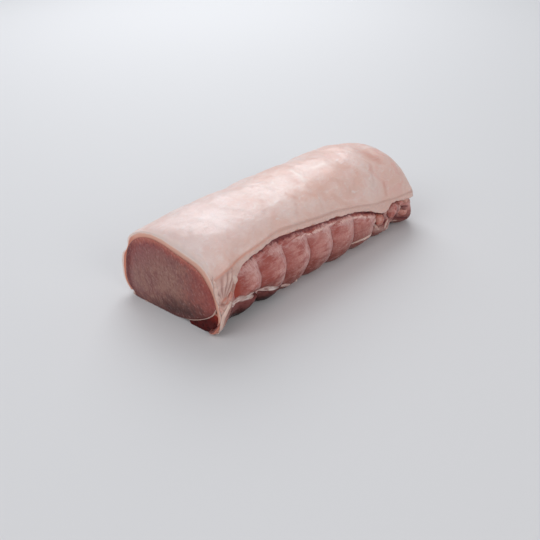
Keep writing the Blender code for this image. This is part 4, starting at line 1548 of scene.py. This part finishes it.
# %% [markdown]
# ## The band round the cut face
#
# In the cut face the fat is seen from its side. It is pale at the skin, peach within and rosy where it
# meets the lean, and orange on the far side. The depth note runs from 0 at the skin to 1 at the meat, so
# it can carry that change, and it also tells the side of the layer from its skin.

# %% Back fat, whole
CUT_PEACH, CUT_ROSE, FAR_ORANGE = tone(234, 174, 152), tone(216, 138, 116), tone(206, 106, 72)
BROAD, BLOTCH, FAT_GRAIN = 0.034, 0.011, 0.0016
ORANGE_PART, SIDE_PART = (0.028, 0.040), (0.01, 0.12)
GRAIN_RISE, BLOTCH_RISE, WISP_RISE, HAIR_FALL = 0.00010, 0.00018, 0.00026, 0.00004


def fat_finish():
    """Raw back fat, with its cut edges."""
    fat = Finish("back_fat", **FAT_WET, **FAT_SOFT)
    place, along, depth = fat.place(), fat.note("along"), fat.note("depth")
    broad, patchy = fat.clouds(place, BROAD, 2.0), fat.clouds(place, BLOTCH, 4.0, 0.6, 0.8)
    fine = fat.clouds(place, FAT_GRAIN, 3.0, 0.6)
    skin_colour, wisps, hair = skin_side(fat, place, along, broad, patchy)
    skin_colour = near_edge(fat, skin_colour, place, along, patchy, fine)
    far = fat.ease(fat.part(place, 1), *ORANGE_PART)
    inward = wander(depth, patchy, 0.3)
    band = fat.blend(fat.ease(inward - far * 0.2, 0.0, 0.45), CUT_RIM, fat.blend(far, CUT_PEACH, FAR_ORANGE))
    band = fat.blend(fat.ease(inward, 0.55, 1.0), band, CUT_ROSE)
    colour = fat.blend(fat.ease(depth, *SIDE_PART), skin_colour, band)
    roughness = fat.ease(patchy, 0.35, 0.70, 0.34, 0.50)
    bumps = fine * GRAIN_RISE + patchy * BLOTCH_RISE + wisps * WISP_RISE - hair * HAIR_FALL
    return fat.finish(colour, roughness, bumps, fat.ease(broad, 0.40, 0.60, 0.10, 0.45))


fat_material = fat_finish()
print("Back fat:", len(fat_material.node_tree.nodes), "nodes")

# %% [markdown]
# ## Strip muscle
#
# The strip is another muscle, darker and wetter than the eye: liver red in the cut face, with an ember
# tint at its top and a pale border, then brown lobes that are painted darker towards the floor, as shade.
# A plain dark red would read as a hole, so its colour is kept uneven and its coat is smooth, and small
# highlights show that it is wet.

# %% Strip muscle's finish
DARK_WET = dict(IOR=1.36, Specular_IOR_Level=0.20, Coat_Roughness=0.07, Coat_IOR=1.33)
MAROON, LIVER, EMBER, STRIP_LOW_SHADE = tone(86, 9, 6), tone(64, 4, 4), tone(146, 36, 16), tone(32, 8, 6)
STRIP_BROWN, STRIP_ROSE, STRIP_BORDER = tone(100, 44, 36), tone(138, 82, 80), tone(206, 150, 130)
DARK_PATCH, DARK_GRAIN, DARK_COAT = 0.0045, 0.0012, 0.15
DARK_PATCH_RISE, DARK_GRAIN_RISE = 0.00014, 0.00005
EMBER_PART, BROWN_PART, ROSY_SHARE = (0.30, 0.06), (0.006, 0.018), (0.48, 0.26)
LOWEST_PART, BORDER_SHARE, BORDER_PART = (0.014, 0.003), (0.05, 0.01), (0.008, 0.002)


def dark_finish():
    """The strip muscle, darkest at its cut end."""
    dark = Finish("dark_meat", **DARK_WET, **LEAN_SOFT)
    place, along, share = dark.place(), dark.note("along"), dark.note("cut")
    patchy, fine = dark.clouds(place, DARK_PATCH, 4.0, 0.6, 0.3), dark.clouds(place, DARK_GRAIN, 2.0)
    browner = dark.ease(along, *BROWN_PART)
    rosy = dark.ease(wander(share, patchy, 0.4), *ROSY_SHARE) * browner
    lowest = dark.ease(wander(dark.part(place, 2), patchy, 0.008), *LOWEST_PART)
    border = dark.ease(share, *BORDER_SHARE) * dark.ease(along, *BORDER_PART)
    colour = dark.painted(
        dark.blend(dark.ease(patchy, 0.35, 0.62), LIVER, MAROON),
        (dark.ease(share, *EMBER_PART) * dark.ease(patchy, 0.30, 0.60) * 0.8, EMBER),
        (browner, dark.blend(dark.ease(patchy, 0.38, 0.58), MAROON, STRIP_BROWN)),
        (rosy * 0.8, STRIP_ROSE),
        # painted shade: the lobes darken towards the floor
        (lowest * browner * 0.9, STRIP_LOW_SHADE),
        (border * 0.7, STRIP_BORDER),
    )
    bumps = patchy * DARK_PATCH_RISE + fine * DARK_GRAIN_RISE
    return dark.finish(colour, dark.ease(patchy, 0.3, 0.7, 0.24, 0.38), bumps, DARK_COAT)


dark_material = dark_finish()
print("Strip muscle:", len(dark_material.node_tree.nodes), "nodes")

# %% [markdown]
# ## Silverskin and trim
#
# The silverskin is thin and pearly, so it is pale, glossy and streaked along its length. The strands and
# scraps are anything from lean to fat, so one finish reads each one's notes and mixes between them. Both
# get painted shade where they meet what they lie on, as little gaps between wet forms would: the
# silverskin along its edges, and each strand along its sides and underside.

# %% Silverskin's finish
SILVER_WET = dict(IOR=1.42, Specular_IOR_Level=0.6, Coat_Roughness=0.12, Coat_IOR=1.36)
PEARL, PEARL_PINK, PEARL_SHADE = tone(224, 204, 198), tone(200, 162, 154), tone(160, 108, 102)
STREAK_SIZE, STREAK_ALONG, PEARL_PATCH, PEARL_COAT = 0.0013, 0.18, 0.0050, 0.6
STREAK_RISE, PEARL_RISE = 0.00012, 0.00020


def silver_finish():
    """Pearly membrane, streaked along its length."""
    pearl = Finish("silverskin", **SILVER_WET, **FAT_SOFT)
    place, along = pearl.place(), pearl.note("along")
    stretched = pearl.vector(along * STREAK_ALONG, pearl.part(place, 1), pearl.part(place, 2))
    streaks, patchy = pearl.clouds(stretched, STREAK_SIZE, 3.0, 0.6), pearl.clouds(place, PEARL_PATCH, 3.0)
    colour = pearl.painted(
        pearl.blend(pearl.ease(streaks, 0.38, 0.62), PEARL_PINK, PEARL),
        (pearl.ease(patchy, 0.48, 0.66) * 0.7, PEARL_SHADE),
        # painted shade along the ribbon's edges, where it meets the meat
        (pearl.ease(abs(pearl.note("cut") - 0.5), 0.30, 0.46) * 0.7, PEARL_SHADE),
    )
    bumps = streaks * STREAK_RISE + patchy * PEARL_RISE
    return pearl.finish(colour, pearl.ease(patchy, 0.3, 0.7, 0.25, 0.42), bumps, PEARL_COAT)


silver_material = silver_finish()
print("Silverskin:", len(silver_material.node_tree.nodes), "nodes")

# %% Trim's finish
STRAND_PALE = tone(220, 190, 178)
TRIM_PATCH, TRIM_GRAIN, TRIM_COAT = 0.0035, 0.0011, 0.4
TRIM_PATCH_RISE, TRIM_GRAIN_RISE = 0.00030, 0.00012


def trim_finish():
    """Strands and scraps, from lean to fat as each one's notes say."""
    trim = Finish("trim", **SILVER_WET, **FAT_SOFT)
    place, pale = trim.place(), trim.note("pale")
    patchy, fine = trim.clouds(place, TRIM_PATCH, 4.0, 0.6, 0.6), trim.clouds(place, TRIM_GRAIN, 2.0)
    shaded = trim.ease(wander(trim.note("depth"), patchy, 0.15), 0.22, 0.55)
    colour = trim.painted(
        trim.blend(trim.ease(patchy, 0.35, 0.65), RIB_RED, ROSE),
        (trim.note("warm"), FLAP_WARM),
        (trim.ease(wander(pale, patchy, 0.7), 0.0, 0.9), STRAND_PALE),
        (trim.note("dark"), PEARL_SHADE),
        # painted shade on the strands' sides and undersides, where they meet what they lie on
        (shaded * trim.ease(pale, 0.9, 0.0, 0.25, 0.85), HOLLOW_SHADE),
    )
    bumps = fine * TRIM_GRAIN_RISE + patchy * TRIM_PATCH_RISE
    return trim.finish(colour, trim.ease(patchy, 0.3, 0.7, 0.28, 0.46), bumps, TRIM_COAT)


trim_material = trim_finish()
print("Trim:", len(trim_material.node_tree.nodes), "nodes")

# %% [markdown]
# ## Pieces
#
# Each form becomes an object at the origin, with its place in its mesh. Three of them stand for the
# frame's solids, which stay hidden behind them, and every piece rides on the loin's one body. The skin
# of meat has no sharp edges, so the meshes are shaded smooth all over.

# %% Pieces on the frame
def finished(name, bm, material, node=None):
    """Make the form a piece, which may stand for a node of the frame."""
    mesh = bpy.data.meshes.new(name)
    bm.to_mesh(mesh)
    bm.free()
    mesh.shade_smooth()
    mesh.materials.append(material)
    piece = bpy.data.objects.new(name, mesh)
    bpy.context.scene.collection.objects.link(piece)
    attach(piece, "root")
    if node:
        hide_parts(node)
    return piece


finished("eye_flesh", eye_bm, lean_material, "eye_muscle")
finished("fat_layer", fat_bm, fat_material, "fat_cap")
finished("strip_flesh", strip_bm, dark_material, "strip_muscle")
finished("silverskin", film_bm, silver_material)
finished("trim_strands", trim_bm, trim_material)

# %% [markdown]
# ## Camera
#
# The loin is seen from above its front near corner, so that the cut face, the ribs and the fat all show.
# The camera could be turned by three typed angles, but those say little to a reader. So it gets a place
# and an aim, and the turn is made from the line between them, with a small roll about that line.

# %% Camera
CAMERA_PLACE, CAMERA_AIM = Vector((-0.2995, -0.3192, 0.2704)), Vector((-0.0546, -0.0444, 0.0300))
CAMERA_ROLL, CAMERA_LENS, FILM = math.radians(-2.61), 44.307, 36.0

camera_data = bpy.data.cameras.new("camera")
camera_data.lens, camera_data.sensor_width = CAMERA_LENS, FILM
camera = bpy.data.objects.new("camera", camera_data)
camera.location = CAMERA_PLACE
sight = CAMERA_AIM - CAMERA_PLACE
turn = sight.to_track_quat("-Z", "Y") @ Quaternion((0, 0, 1), CAMERA_ROLL)
camera.rotation_euler = turn.to_euler()
bpy.context.scene.collection.objects.link(camera)
bpy.context.scene.camera = camera
print(f"The camera is {1000 * sight.length:.0f} mm from its aim and {-1000 * sight.z:.0f} mm above it")

# %% [markdown]
# ## Floor and lights
#
# The floor only catches shadows and sends a little light back up, so it is staged and isn't part of the
# object. Wet meat shows its lights as highlights, so all three are large soft squares. The cool key
# stands behind the far side and lays the sheen on the fat, the front light opens the cut face, and the
# warmer fill lights the ribs.

# %% Floor
FLOOR_SIZE, FLOOR_GREY, FLOOR_ROUGHNESS = 6.0, (0.66, 0.66, 0.67, 1.0), 0.7

floor_bm = bmesh.new()
bmesh.ops.create_grid(floor_bm, x_segments=1, y_segments=1, size=FLOOR_SIZE / 2)
floor_mesh = bpy.data.meshes.new("floor")
floor_bm.to_mesh(floor_mesh)
floor_bm.free()
floor = bpy.data.objects.new("floor", floor_mesh)
bpy.context.scene.collection.objects.link(floor)
floor_material = bpy.data.materials.new("pale_floor")
floor_material.use_nodes = True
floor_shader = floor_material.node_tree.nodes["Principled BSDF"]
floor_shader.inputs["Base Color"].default_value = FLOOR_GREY
floor_shader.inputs["Roughness"].default_value = FLOOR_ROUGHNESS
floor_mesh.materials.append(floor_material)
print(f"The floor is {FLOOR_SIZE:.0f} m across")

# %% Lights and surroundings
LOIN_MIDDLE = Vector((0.0, 0.0, 0.03))
# name, place, size, power, colour
LIGHTS = (
    ("key", (0.60, 0.88, 0.95), 1.1, 13.0, (0.95, 0.97, 1.0)),
    ("front", (-0.90, 0.15, 0.95), 0.9, 4.0, (0.98, 0.98, 1.0)),
    ("fill", (0.0, -1.25, 0.65), 0.8, 5.4, (1.0, 0.97, 0.95)),
)
SURROUND_COLOUR, SURROUND_STRENGTH = (0.9, 0.92, 0.95, 1.0), 0.42


def softbox(name, place, size, power, colour):
    """A square soft light that shines on the loin's middle."""
    data = bpy.data.lights.new(name, "AREA")
    data.shape, data.size, data.energy, data.color = "SQUARE", size, power, colour
    light = bpy.data.objects.new(name, data)
    light.location = place
    light.rotation_euler = (LOIN_MIDDLE - Vector(place)).to_track_quat("-Z", "Y").to_euler()
    bpy.context.scene.collection.objects.link(light)


for light_row in LIGHTS:
    softbox(*light_row)
world = bpy.data.worlds.new("studio")
world.use_nodes = True
background = world.node_tree.nodes["Background"]
background.inputs["Color"].default_value = SURROUND_COLOUR
background.inputs["Strength"].default_value = SURROUND_STRENGTH
bpy.context.scene.world = world
bpy.context.scene.view_settings.view_transform = "Standard"
print("Lights:", ", ".join(light_row[0] for light_row in LIGHTS))
